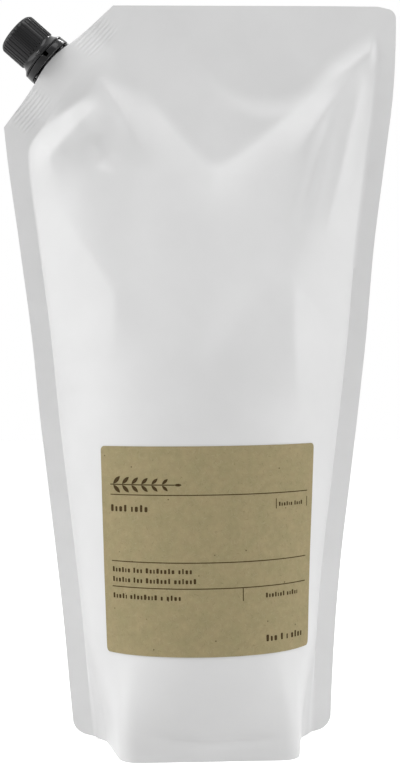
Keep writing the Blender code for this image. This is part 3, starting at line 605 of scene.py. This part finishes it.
def make_film(finish):
    points, faces = film_shell_mesh()
    data = make_mesh("film_skin", points, faces)
    shape = bmesh.new()
    shape.from_mesh(data)
    trim_outline(shape)
    raise_cut_edge(shape)
    bmesh.ops.recalc_face_normals(shape, faces=shape.faces)
    shape.to_mesh(data)
    shape.free()
    data.shade_smooth()
    data.set_sharp_from_angle(angle=math.radians(50))
    add_piece(data, finish, "pouch", "film_pouch")


def spout_matrix():
    return Matrix.Translation(SPOUT_BASE) @ Matrix.Rotation(SPOUT_TILT, 4, "Y")


def rounded_line(corners, steps):
    """Points of (radius, height, rounding) corners, each corner rounded over the length it gives."""
    line = []
    for index, (radius, z, rounding) in enumerate(corners):
        if rounding == 0.0:
            line.append((radius, z))
            continue
        here = Vector((radius, z))
        before = Vector(corners[index - 1][:2])
        after = Vector(corners[(index + 1) % len(corners)][:2])
        start = here + (before - here).normalized() * rounding
        end = here + (after - here).normalized() * rounding
        for step in range(steps + 1):
            t = step / steps
            point = start * (1.0 - t) ** 2 + here * 2.0 * t * (1.0 - t) + end * t**2
            line.append((point.x, point.y))
    return line


def turned(line, angles, place):
    """Points, put where place says, and faces of a closed turned shape. A zero radius is on the axis."""
    points, rings, faces = [], [], []
    for radius, z in line:
        if radius == 0.0:
            points.append((0.0, 0.0, z))
            rings.append([len(points) - 1] * len(angles))
            continue
        rings.append(list(range(len(points), len(points) + len(angles))))
        points += [place(radius, z, angle) for angle in angles]
    pairs = list(zip(rings, rings[1:]))
    if line[0][0] > 0.0:
        pairs.append((rings[-1], rings[0]))
    for lower, upper in pairs:
        for index in range(len(angles)):
            after = (index + 1) % len(angles)
            corners = dict.fromkeys([lower[index], lower[after], upper[after], upper[index]])
            if len(corners) > 2:
                faces.append(tuple(corners))
    return points, faces


def join_shapes(shapes):
    """The points and faces of several closed shapes as one list of each."""
    points, faces = [], []
    for shape_points, shape_faces in shapes:
        first = len(points)
        points += shape_points
        faces += [tuple(first + index for index in face) for face in shape_faces]
    return points, faces


def thread(root_radius, outward, phase):
    """A helical ridge standing out from a root radius and sunk a little into it, with run-out ends."""
    steps = int(THREAD_STEPS_A_TURN * THREAD_TURNS)
    points = []
    for index in range(steps + 1):
        share = index / steps
        angle = math.tau * THREAD_TURNS * share
        run_out = smooth_step(min(share, 1.0 - share) * THREAD_TURNS * THREAD_RUN_OUTS_A_TURN)
        height = THREAD_DEPTH * float(run_out)
        z = THREAD_BOTTOM + phase * THREAD_PITCH + THREAD_PITCH * THREAD_TURNS * share
        corners = [(-THREAD_SINK, -0.5 * THREAD_ROOT_WIDTH), (height, -0.5 * THREAD_CREST_WIDTH)]
        corners += [(height, 0.5 * THREAD_CREST_WIDTH), (-THREAD_SINK, 0.5 * THREAD_ROOT_WIDTH)]
        for out, shift in corners:
            radius = root_radius + outward * out
            points.append((radius * math.cos(angle), radius * math.sin(angle), z + shift))
    faces = [(0, 1, 2, 3), tuple(4 * steps + index for index in range(4))]
    for index in range(steps):
        for side in range(4):
            a = 4 * index + side
            b = 4 * index + (side + 1) % 4
            faces.append((a, b, b + 4, a + 4))
    return points, faces


def foot_shape():
    """The boat-shaped foot, welded between the films."""
    steps = 14
    levels = [-FOOT_DEPTH, -FOOT_TOP]
    points = []
    for z in levels:
        near = []
        for index in range(-steps, steps + 1):
            near.append((FOOT_HALF_LENGTH * index / steps, -foot_thickness(abs(index) / steps), z))
        points += near + [(x, -y, z) for x, y, _ in reversed(near)]
    loop = len(points) // 2
    faces = [tuple(range(loop)), tuple(range(loop, 2 * loop))]
    for index in range(loop):
        after = (index + 1) % loop
        faces.append((index, after, after + loop, index + loop))
    return points, faces


def even_angles(count):
    return [math.tau * index / count for index in range(count)]


def on_circle(radius, z, angle):
    return (radius * math.cos(angle), radius * math.sin(angle), z)


def make_spout(finish):
    """Foot, oval flange, bead, neck and thread, with a bore."""
    low = GAP / 2
    high = low + FLANGE_THICKNESS
    edge, lip = 0.2 * MM, 0.5 * MM
    corners = [
        (0.0, -FOOT_TOP - MM, 0.0),
        (STEM_RADIUS, -FOOT_TOP - MM, 0.0),
        (STEM_RADIUS, low, 0.0),
        (FLANGE_RADIUS, low, edge),
        (FLANGE_RADIUS, high, edge),
        (NECK_RADIUS, high, edge),
        (NECK_RADIUS, BEAD_BOTTOM, edge),
        (BEAD_RADIUS, BEAD_BOTTOM + edge, edge),
        (BEAD_RADIUS, BEAD_TOP - 2.0 * edge, edge),
        (NECK_RADIUS, BEAD_TOP, edge),
        (NECK_RADIUS, NECK_LENGTH, lip),
        (BORE_RADIUS, NECK_LENGTH, edge),
        (BORE_RADIUS, -FOOT_TOP, 0.0),
        (0.0, -FOOT_TOP, 0.0),
    ]
    squash = 1.0 - FLANGE_HALF_DEPTH / FLANGE_RADIUS

    def oval_flange(radius, z, angle):
        x, y, _ = on_circle(radius, z, angle)
        on_flange = float(smooth_step((radius - BEAD_RADIUS) / (FLANGE_RADIUS - BEAD_RADIUS)))
        return (x, y * (1.0 - squash * on_flange), z)

    body = turned(rounded_line(corners, 4), even_angles(96), oval_flange)
    points, faces = join_shapes([body, foot_shape(), thread(NECK_RADIUS, 1.0, 0.0)])
    data = make_mesh("spout_detail", points, faces, 35)
    add_piece(data, finish, "pouch", "spout", spout_matrix())


def make_band(finish):
    """The tamper band: a ring hooked over the neck's bead, with a notch in its top at the front."""
    bottom = GAP / 2 + FLANGE_THICKNESS + GAP
    hook = BEAD_TOP + GAP
    inner = BAND_TOP_RADIUS - BAND_WALL
    edge, fine = 0.3 * MM, 0.1 * MM
    corners = [
        (inner, bottom, fine),
        (BAND_BOTTOM_RADIUS, bottom, edge),
        (BAND_TOP_RADIUS, BAND_TOP, edge),
        (inner, BAND_TOP, fine),
        (BAND_HOOK_RADIUS, hook + BAND_HOOK_HEIGHT, fine),
        (BAND_HOOK_RADIUS, hook, fine),
        (inner, hook, fine),
    ]
    front = 1.5 * math.pi
    half = NOTCH_WIDTH / 2 / BAND_TOP_RADIUS
    slope = 0.08 * half
    angles = [angle for angle in even_angles(144) if abs(angle - front) > half + 2.0 * slope]
    near = [-half - slope, -half, -half * 0.5, 0.0, half * 0.5, half, half + slope]
    angles = sorted(angles + [front + place for place in near])

    def notched(radius, z, angle):
        inside = float(smooth_step((half + slope - abs(angle - front)) / slope))
        top = BAND_TOP - NOTCH_DEPTH * inside if radius > inner - MM * 0.2 else BAND_TOP
        return on_circle(radius, min(z, top), angle)

    points, faces = turned(rounded_line(corners, 4), angles, notched)
    data = make_mesh("band_detail", points, faces, 35)
    add_piece(data, finish, "pouch", "tamper_band", spout_matrix())


def make_cap(finish):
    """The screw cap: ribbed grip, flared rim and rounded top outside, wall and thread inside."""
    rim = BAND_TOP + GAP
    inner = NECK_RADIUS + THREAD_DEPTH + GAP
    wide = CAP_RIM_RADIUS - CAP_WALL
    under = CAP_TOP - CAP_TOP_WALL
    grip_bottom = WAIST_HEIGHT + 0.5 * MM
    corners = [
        (0.0, CAP_TOP, 0.0),
        (GRIP_RADIUS, CAP_TOP, CAP_TOP_ROUNDING),
        (GRIP_RADIUS, grip_bottom, 0.15 * MM),
    ]
    for index in range(FLARE_STEPS):
        share = 1.0 - index / FLARE_STEPS
        radius = WAIST_RADIUS + (CAP_RIM_RADIUS - WAIST_RADIUS) * (1.0 - share) ** FLARE_BEND
        z = rim + CAP_RIM_HEIGHT + (WAIST_HEIGHT - rim - CAP_RIM_HEIGHT) * share
        corners.append((radius, z, 0.0))
    corners += [
        (CAP_RIM_RADIUS, rim + CAP_RIM_HEIGHT, 0.15 * MM),
        (CAP_RIM_RADIUS, rim, 0.2 * MM),
        (wide, rim, 0.15 * MM),
        (wide, rim + 0.8 * MM, 0.1 * MM),
        (inner, WAIST_HEIGHT - 1.2 * MM, 0.1 * MM),
        (inner, under, 0.4 * MM),
        (0.0, under, 0.0),
    ]
    line = rounded_line(corners, 8)
    start = next(index for index, (_, z) in enumerate(line) if z < CAP_TOP - 1.5 * CAP_TOP_ROUNDING) - 1
    top_z = line[start][1]
    line[start + 1 : start + 1] = [
        (GRIP_RADIUS, top_z + (grip_bottom + MM * 0.8 - top_z) * step / GRIP_STEPS)
        for step in range(1, GRIP_STEPS + 1)
    ]

    def ribbed(radius, z, angle):
        place = (angle * RIB_COUNT / math.tau) % 1.0
        across = float(smooth_step((RIB_HALF_SHARE - abs(place - 0.5)) / RIB_FLANK_SHARE))
        along = float(smooth_step((z - grip_bottom + 0.5 * MM) / MM * 2.0))
        fade = float(smooth_step((CAP_TOP - 0.5 * MM - z) / MM * 0.8))
        outside = float(radius > GRIP_RADIUS - CAP_TOP_ROUNDING)
        return on_circle(radius + RIB_HEIGHT * across * along * fade * outside, z, angle)

    shell = turned(line, even_angles(RIB_COUNT * POINTS_A_RIB), ribbed)
    points, faces = join_shapes([shell, thread(inner, -1.0, 0.5)])
    data = make_mesh("cap_detail", points, faces, 32)
    add_piece(data, finish, "cap", "screw_cap", spout_matrix())


def label_curve(height):
    """x, depth and length along the film from its middle, for the front's section at a height."""
    share = np.linspace(-1.0, 1.0, CURVE_POINTS)
    x, depth = film_front(share, np.full_like(share, height))
    length = np.concatenate([[0.0], np.cumsum(np.hypot(np.diff(x), np.diff(depth)))])
    return x, depth, length - length[-1] / 2


def on_label(across, heights, stand):
    """Points standing off the film: across is the arc distance from the middle of the front."""
    result = []
    for u, height in zip(across, heights):
        x, depth, length = label_curve(height)
        px = np.interp(u, length, x)
        pd = np.interp(u, length, depth)
        step = 1.0 * MM
        dx = np.interp(u + step, length, x) - np.interp(u - step, length, x)
        dd = np.interp(u + step, length, depth) - np.interp(u - step, length, depth)
        norm = math.hypot(dx, dd)
        result.append((px - stand * dd / norm, -(pd + stand * dx / norm), height))
    return result


def rounded_outline(half_width, low, high, radius, steps):
    points = []
    corners = [(half_width, high, 0), (-half_width, high, 90)]
    corners += [(-half_width, low, 180), (half_width, low, 270)]
    for x, z, start in corners:
        cx = x - math.copysign(radius, x)
        cz = z - radius if z == high else z + radius
        for index in range(steps + 1):
            angle = math.radians(start + 90.0 * index / steps)
            points.append((cx + radius * math.cos(angle), cz + radius * math.sin(angle)))
    return points


def sheet(outline_points, stand, thickness):
    """Cuts a flat outline into cells, laid on the film as a closed sheet: points, faces, flat places."""
    shape = bmesh.new()
    shape.faces.new([shape.verts.new((u, 0.0, v)) for u, v in outline_points])
    for axis in (0, 1):
        low = min(point[axis] for point in outline_points)
        high = max(point[axis] for point in outline_points)
        count = max(int(math.ceil((high - low) / SHEET_CELL)), 1)
        direction = (1.0 - axis, 0.0, float(axis))
        for index in range(1, count):
            distance = low + (high - low) * index / count
            place = [distance * share for share in direction]
            bmesh.ops.bisect_plane(shape, geom=whole(shape), dist=1e-9, plane_co=place, plane_no=direction)
    shape.verts.index_update()
    flat = [(vertex.co.x, vertex.co.z) for vertex in shape.verts]
    faces = [tuple(vertex.index for vertex in face.verts) for face in shape.faces]
    border = [tuple(vertex.index for vertex in edge.verts) for edge in shape.edges if edge.is_boundary]
    shape.free()
    across = [u for u, _ in flat]
    heights = [v for _, v in flat]
    count = len(flat)
    points = on_label(across, heights, stand) + on_label(across, heights, stand + thickness)
    closed = [tuple(index + count for index in face) for face in faces]
    closed += [tuple(reversed(face)) for face in faces]
    closed += [(a, b, b + count, a + count) for a, b in border]
    return points, closed, flat * 2


def make_label(finish):
    outline_points = rounded_outline(LABEL_HALF_WIDTH, LABEL_BOTTOM, LABEL_TOP, LABEL_CORNER, 6)
    outline_points = [(u + LABEL_SHIFT, v + u * math.tan(LABEL_SLANT)) for u, v in outline_points]
    points, faces, flat = sheet(outline_points, LABEL_STAND, LABEL_THICKNESS)
    data = make_mesh("label", points, faces, 40)
    layer = data.uv_layers.new(name="flat")
    for loop in data.loops:
        u, v = flat[loop.vertex_index]
        layer.data[loop.index].uv = (u / UV_SIZE, v / UV_SIZE)
    add_piece(data, finish, "pouch", "paper_label")


def bar(left, low, width, height):
    """The outline of a bar with softly cut corners."""
    cut = 0.22 * min(width, height)
    right, high = left + width, low + height
    return [(left + cut, low), (right - cut, low), (right, low + cut), (right, high - cut),
            (right - cut, high), (left + cut, high), (left, high - cut), (left, low + cut)]


def mark_row(groups, left, base, size):
    """A row of small plain marks in groups: the numbers are the marks in each group."""
    shapes = []
    x = left
    mark = 0
    for count in groups:
        for _ in range(count):
            width = size * MARK_WIDTHS[mark % len(MARK_WIDTHS)]
            height = size * MARK_HEIGHTS[mark % len(MARK_HEIGHTS)]
            shapes.append(bar(x, base, width, height))
            x += width + MARK_GAP * size
            mark += 1
        x += GROUP_GAP * size
    return shapes


def leaf(x, z, length, turn):
    """A leaf's outline from its stalk at x, z, pointing along turn."""
    steps = 6
    points = []
    for side in (1.0, -1.0):
        for index in range(steps):
            share = index / steps if side > 0.0 else 1.0 - index / steps
            across = side * 0.19 * length * math.sin(math.pi * share) ** 0.8
            points.append((x + length * share * math.cos(turn) - across * math.sin(turn),
                           z + length * share * math.sin(turn) + across * math.cos(turn)))
    return points


def sprig(left, base):
    """A lying twig with pairs of leaves."""
    pairs = 6
    step = 4.1 * MM
    middle = base + 3.3 * MM
    shapes = [bar(left, middle - 0.2 * MM, step * (pairs + 0.55), 0.4 * MM)]
    for index in range(pairs):
        x = left + step * (index + 0.35)
        length = (4.3 - 0.25 * index) * MM
        for side in (1.0, -1.0):
            shapes.append(leaf(x, middle + side * 0.25 * MM, length, side * math.radians(42.0)))
    shapes.append(leaf(left + step * (pairs + 0.5), middle, 2.8 * MM, 0.0))
    return shapes


def print_shapes():
    """Rules, a twig and rows of marks, as outlines across and up from the label's lower left corner."""
    left = PRINT_MARGIN
    right = 2.0 * LABEL_HALF_WIDTH - PRINT_RIGHT_MARGIN
    height = LABEL_TOP - LABEL_BOTTOM
    shapes = [bar(left, height - down, right - left, RULE_WIDTH) for down in RULES_DOWN]
    shapes.append(bar(DIVIDER_ACROSS, height - RULES_DOWN[2] - DIVIDER_HEIGHT, RULE_WIDTH, DIVIDER_HEIGHT))
    shapes += sprig(left, height - RULES_DOWN[0] + 0.7 * MM)
    bracket_left = right - BRACKET_WIDTH
    for x in (bracket_left, right - RULE_WIDTH):
        shapes.append(bar(x, height - BRACKET_DOWN, RULE_WIDTH, BRACKET_HEIGHT))
    block_left = right - RIGHT_BLOCK_WIDTH
    rows = [
        ((4, 4), left + 0.2 * MM, 24.6, 2.6),
        ((6, 4), bracket_left + 1.4 * MM, 23.3, 1.6),
        ((6, 3, 8, 4), left + 0.4 * MM, 47.4, 1.95),
        ((6, 3, 7, 6), left + 0.4 * MM, 51.1, 1.95),
        ((5, 8, 1, 4), left + 0.4 * MM, 57.3, 1.95),
        ((7, 5), block_left, 57.3, 1.8),
        ((3, 1, 1, 4), block_left, 73.8, 2.5),
    ]
    for groups, start, down, size in rows:
        shapes += mark_row(groups, start, height - down * MM, size * MM)
    return shapes


def make_print(finish):
    """The ink on the label, as one piece of very thin sheets."""
    sheets = []
    for outline_points in print_shapes():
        placed = []
        for across, up in outline_points:
            slanted = up + (across - LABEL_HALF_WIDTH) * math.tan(PRINT_SLANT)
            placed.append((across - LABEL_HALF_WIDTH + LABEL_SHIFT, LABEL_BOTTOM + slanted))
        points, faces, _ = sheet(placed, INK_STAND, INK_THICKNESS)
        sheets.append((points, faces))
    points, faces = join_shapes(sheets)
    data = make_mesh("label_print", points, faces, 40)
    add_piece(data, finish, "pouch")


def node_material(name):
    finish = bpy.data.materials.new(name)
    finish.use_nodes = True
    return finish, finish.node_tree, finish.node_tree.nodes["Principled BSDF"]


def set_surface(shader, roughness, specular):
    shader.inputs["Roughness"].default_value = roughness
    shader.inputs["Specular IOR Level"].default_value = specular


def plain_material(name, colour, roughness, specular):
    """A material of one colour."""
    finish, _, shader = node_material(name)
    shader.inputs["Base Color"].default_value = colour
    set_surface(shader, roughness, specular)
    return finish


def math_node(tree, operation, first, second=None, third=None):
    node = tree.nodes.new("ShaderNodeMath")
    node.operation = operation
    for index, value in enumerate((first, second, third)):
        if isinstance(value, (int, float)):
            node.inputs[index].default_value = value
        elif value is not None:
            tree.links.new(value, node.inputs[index])
    return node.outputs[0]


def noise(tree, vector, scale, detail, roughness=0.5):
    node = tree.nodes.new("ShaderNodeTexNoise")
    node.inputs["Scale"].default_value = scale
    node.inputs["Detail"].default_value = detail
    node.inputs["Roughness"].default_value = roughness
    tree.links.new(vector, node.inputs["Vector"])
    return node.outputs["Fac"]


def remap(tree, value, from_low, from_high, to_low, to_high):
    node = tree.nodes.new("ShaderNodeMapRange")
    ends = {"From Min": from_low, "From Max": from_high, "To Min": to_low, "To Max": to_high}
    for name, number in ends.items():
        node.inputs[name].default_value = number
    tree.links.new(value, node.inputs["Value"])
    return node.outputs["Result"]


def seal_lines(tree, place):
    """Fine pressed lines along the cut edge, on both sides of the spout, as a height from 0 to 1."""
    turned_place = tree.nodes.new("ShaderNodeMapping")
    turned_place.vector_type = "TEXTURE"
    turned_place.inputs["Location"].default_value = SPOUT_BASE
    turned_place.inputs["Rotation"].default_value = (0.0, SPOUT_TILT, 0.0)
    tree.links.new(place, turned_place.inputs["Vector"])
    split = tree.nodes.new("ShaderNodeSeparateXYZ")
    tree.links.new(turned_place.outputs["Vector"], split.inputs[0])
    along = math_node(tree, "ABSOLUTE", split.outputs["X"])
    beside = remap(tree, along, *SEAL_LINES_START, 0.0, 1.0)
    before = remap(tree, along, *SEAL_LINES_END, 1.0, 0.0)
    deep = remap(tree, split.outputs["Z"], *SEAL_LINES_BOTTOM, 0.0, 1.0)
    turn = math_node(tree, "MULTIPLY", split.outputs["Z"], math.tau / SEAL_LINE_STEP)
    wave = math_node(tree, "MULTIPLY_ADD", math_node(tree, "SINE", turn), 0.5, 0.5)
    mask = math_node(tree, "MULTIPLY", math_node(tree, "MULTIPLY", beside, before), deep)
    return math_node(tree, "MULTIPLY", wave, mask)


def bump(tree, height, distance, strength, before=None):
    node = tree.nodes.new("ShaderNodeBump")
    node.inputs["Distance"].default_value = distance
    node.inputs["Strength"].default_value = strength
    tree.links.new(height, node.inputs["Height"])
    if before is not None:
        tree.links.new(before, node.inputs["Normal"])
    return node.outputs["Normal"]


def film_material():
    """White laminated film: matte with a soft sheen, uneven, with pressed lines in its corner seal, and
    painted light that lightens its seals.
    """
    finish, tree, shader = node_material("film")
    place = tree.nodes.new("ShaderNodeTexCoord").outputs["Object"]
    tone = remap(tree, noise(tree, place, 42.0, 3.0), 0.3, 0.7, *FILM_TONE)
    # Painted light: where the film is double, on the seals, its colour is lightened, most near the ground,
    # to lift the shade on them
    split = tree.nodes.new("ShaderNodeSeparateXYZ")
    tree.links.new(place, split.inputs[0])
    out = math_node(tree, "ABSOLUTE", split.outputs["Y"])
    double = remap(tree, out, *DOUBLE_FILM, 1.0, 0.0)
    low = remap(tree, split.outputs["Z"], 0.0, SEAL_PAINTED_LIFT_TOP, SEAL_PAINTED_LIFT, 0.0)
    tone = math_node(tree, "MULTIPLY_ADD", double, low, tone)
    colour = tree.nodes.new("ShaderNodeCombineColor")
    for channel in ("Red", "Green", "Blue"):
        tree.links.new(tone, colour.inputs[channel])
    tree.links.new(colour.outputs[0], shader.inputs["Base Color"])
    set_surface(shader, FILM_ROUGHNESS[0], 0.4)
    sheen = remap(tree, noise(tree, place, 90.0, 2.0), 0.3, 0.7, *FILM_ROUGHNESS)
    tree.links.new(sheen, shader.inputs["Roughness"])
    waves = bump(tree, noise(tree, place, 58.0, 2.0), 0.5 * MM, 0.35)
    grain = bump(tree, noise(tree, place, 1500.0, 2.0), 0.03 * MM, 0.4, waves)
    lines = bump(tree, seal_lines(tree, place), 0.12 * MM, 1.0, grain)
    tree.links.new(lines, shader.inputs["Normal"])
    return finish


def blend(tree, share, first, second):
    """Mixes two colours, each a socket or a plain colour."""
    node = tree.nodes.new("ShaderNodeMix")
    node.data_type = "RGBA"
    tree.links.new(share, node.inputs["Factor"])
    for socket, value in ((node.inputs[6], first), (node.inputs[7], second)):
        if isinstance(value, tuple):
            socket.default_value = value
        else:
            tree.links.new(value, socket)
    return node.outputs[2]


def fibres(tree, place, turn, shift, low, high):
    """Short thin strands that run along one direction, from 0 to 1."""
    stretched = tree.nodes.new("ShaderNodeMapping")
    stretched.vector_type = "TEXTURE"
    stretched.inputs["Rotation"].default_value = (0.0, 0.0, math.radians(turn))
    stretched.inputs["Location"].default_value = (shift, shift, 0.0)
    stretched.inputs["Scale"].default_value = (FIBRE_LENGTH / UV_SIZE, FIBRE_WIDTH / UV_SIZE, 1.0)
    tree.links.new(place, stretched.inputs["Vector"])
    return remap(tree, noise(tree, stretched.outputs["Vector"], 1.0, 1.0), low, high, 0.0, 1.0)


def paper_material():
    """Recycled kraft paper: mottled tan, with pale and dark fibres and a few dark specks."""
    finish, tree, shader = node_material("kraft_paper")
    place = tree.nodes.new("ShaderNodeTexCoord").outputs["UV"]
    mottle = remap(tree, noise(tree, place, 16.0, 4.0, 0.6), 0.36, 0.64, 0.0, 1.0)
    colour = blend(tree, mottle, PAPER_OLIVE, PAPER_TAN)
    cloud = remap(tree, noise(tree, place, 42.0, 3.0), 0.35, 0.65, 0.0, 0.30)
    colour = blend(tree, cloud, colour, PAPER_DEEP)
    for turn, shift in ((20.0, 0.0), (-48.0, 3.7), (81.0, 8.1)):
        pale = fibres(tree, place, turn, shift, 0.64, 0.72)
        colour = blend(tree, math_node(tree, "MULTIPLY", pale, FIBRE_STRENGTH), colour, PAPER_PALE)
        dark = fibres(tree, place, turn + 31.0, shift + 5.3, 0.68, 0.76)
        colour = blend(tree, math_node(tree, "MULTIPLY", dark, FIBRE_STRENGTH), colour, PAPER_FLECK)
    cells = tree.nodes.new("ShaderNodeTexVoronoi")
    cells.inputs["Scale"].default_value = 34.0
    tree.links.new(place, cells.inputs["Vector"])
    near = remap(tree, cells.outputs["Distance"], 0.07, 0.12, 1.0, 0.0)
    chosen = tree.nodes.new("ShaderNodeSeparateColor")
    tree.links.new(cells.outputs["Color"], chosen.inputs[0])
    some = math_node(tree, "GREATER_THAN", chosen.outputs["Red"], 0.82)
    speck = math_node(tree, "MULTIPLY", near, some)
    colour = blend(tree, math_node(tree, "MULTIPLY", speck, 0.85), colour, PAPER_FLECK)
    tree.links.new(colour, shader.inputs["Base Color"])
    set_surface(shader, 0.88, 0.25)
    tooth = bump(tree, noise(tree, place, 260.0, 3.0), 0.06 * MM, 0.5)
    tree.links.new(tooth, shader.inputs["Normal"])
    return finish


def seen_directly(tree):
    """1 where the camera, a reflection or a view through something clear shows the surface, or else 0."""
    path = tree.nodes.new("ShaderNodeLightPath").outputs
    seen = math_node(tree, "MAXIMUM", path["Is Camera Ray"], path["Is Glossy Ray"])
    return math_node(tree, "MAXIMUM", seen, path["Is Transmission Ray"])


def make_stage():
    """A pale floor that gives off a little light of its own where it is seen."""
    data = bpy.data.meshes.new("floor")
    reach = 3.0
    corners = [(-reach, -reach, 0.0), (reach, -reach, 0.0), (reach, reach, 0.0), (-reach, reach, 0.0)]
    data.from_pydata(corners, [], [(0, 1, 2, 3)])
    floor = add_object("floor", data)
    finish, tree, shader = node_material("floor")
    shader.inputs["Base Color"].default_value = (0.85, 0.85, 0.85, 1.0)
    shader.inputs["Roughness"].default_value = 0.9
    lift = math_node(tree, "MULTIPLY", seen_directly(tree), FLOOR_LIFT)
    shader.inputs["Emission Color"].default_value = (1.0, 1.0, 1.0, 1.0)
    tree.links.new(lift, shader.inputs["Emission Strength"])
    data.materials.append(finish)


def area_light(name, place, target, size, power):
    light = bpy.data.lights.new(name, "AREA")
    light.shape = "RECTANGLE"
    light.size, light.size_y = size
    light.energy = power
    lamp = add_object(name, light)
    lamp.location = place
    lamp.rotation_euler = (Vector(target) - Vector(place)).to_track_quat("-Z", "Y").to_euler()


def make_lights():
    world = bpy.data.worlds.new("studio")
    bpy.context.scene.world = world
    world.use_nodes = True
    tree = world.node_tree
    background = tree.nodes["Background"]
    strength = remap(tree, seen_directly(tree), 0.0, 1.0, WORLD_LIGHT, 1.0)
    tree.links.new(strength, background.inputs["Strength"])
    background.inputs["Color"].default_value = (1.0, 1.0, 1.0, 1.0)
    area_light("left_softbox", (-0.95, -0.18, 0.25), (0.0, 0.0, 0.12), (0.7, 1.1), 5.9)
    area_light("right_softbox", (0.95, -0.18, 0.25), (0.0, 0.0, 0.12), (0.7, 1.1), 5.2)
    area_light("top_softbox", (0.0, -0.45, 1.6), (0.0, 0.0, 0.15), (1.4, 0.7), 10.2)
    cap = Vector((-70.0 * MM, 0.0, 280.0 * MM))
    area_light("left_strip", cap + Vector((-0.69, -0.14, 0.57)), cap, (0.05, 0.12), 0.65)
    area_light("right_strip", cap + Vector((0.38, 0.40, 0.71)), cap, (0.04, 0.3), 1.7)


def make_camera():
    """Level, at the middle of the pack, a little to its left."""
    aim = Vector(CAMERA_AIM)
    camera_data = bpy.data.cameras.new("camera")
    camera_data.sensor_fit = "VERTICAL"
    camera_data.sensor_height = 36.0
    camera_data.lens = CAMERA_LENS
    camera = add_object("camera", camera_data)
    camera.location = aim + Vector((-math.sin(CAMERA_TURN), -math.cos(CAMERA_TURN), 0.0)) * CAMERA_DISTANCE
    camera.rotation_euler = (aim - camera.location).to_track_quat("-Z", "Y").to_euler()
    bpy.context.scene.camera = camera


def main():
    bpy.context.scene.view_settings.view_transform = "Standard"
    make_camera()
    make_stage()
    make_lights()
    make_film(film_material())
    make_label(paper_material())
    make_print(plain_material("ink", INK_COLOUR, 0.8, 0.1))
    black = plain_material("black_plastic", BLACK_COLOUR, 0.18, 0.26)
    make_spout(black)
    make_band(black)
    make_cap(black)


main()
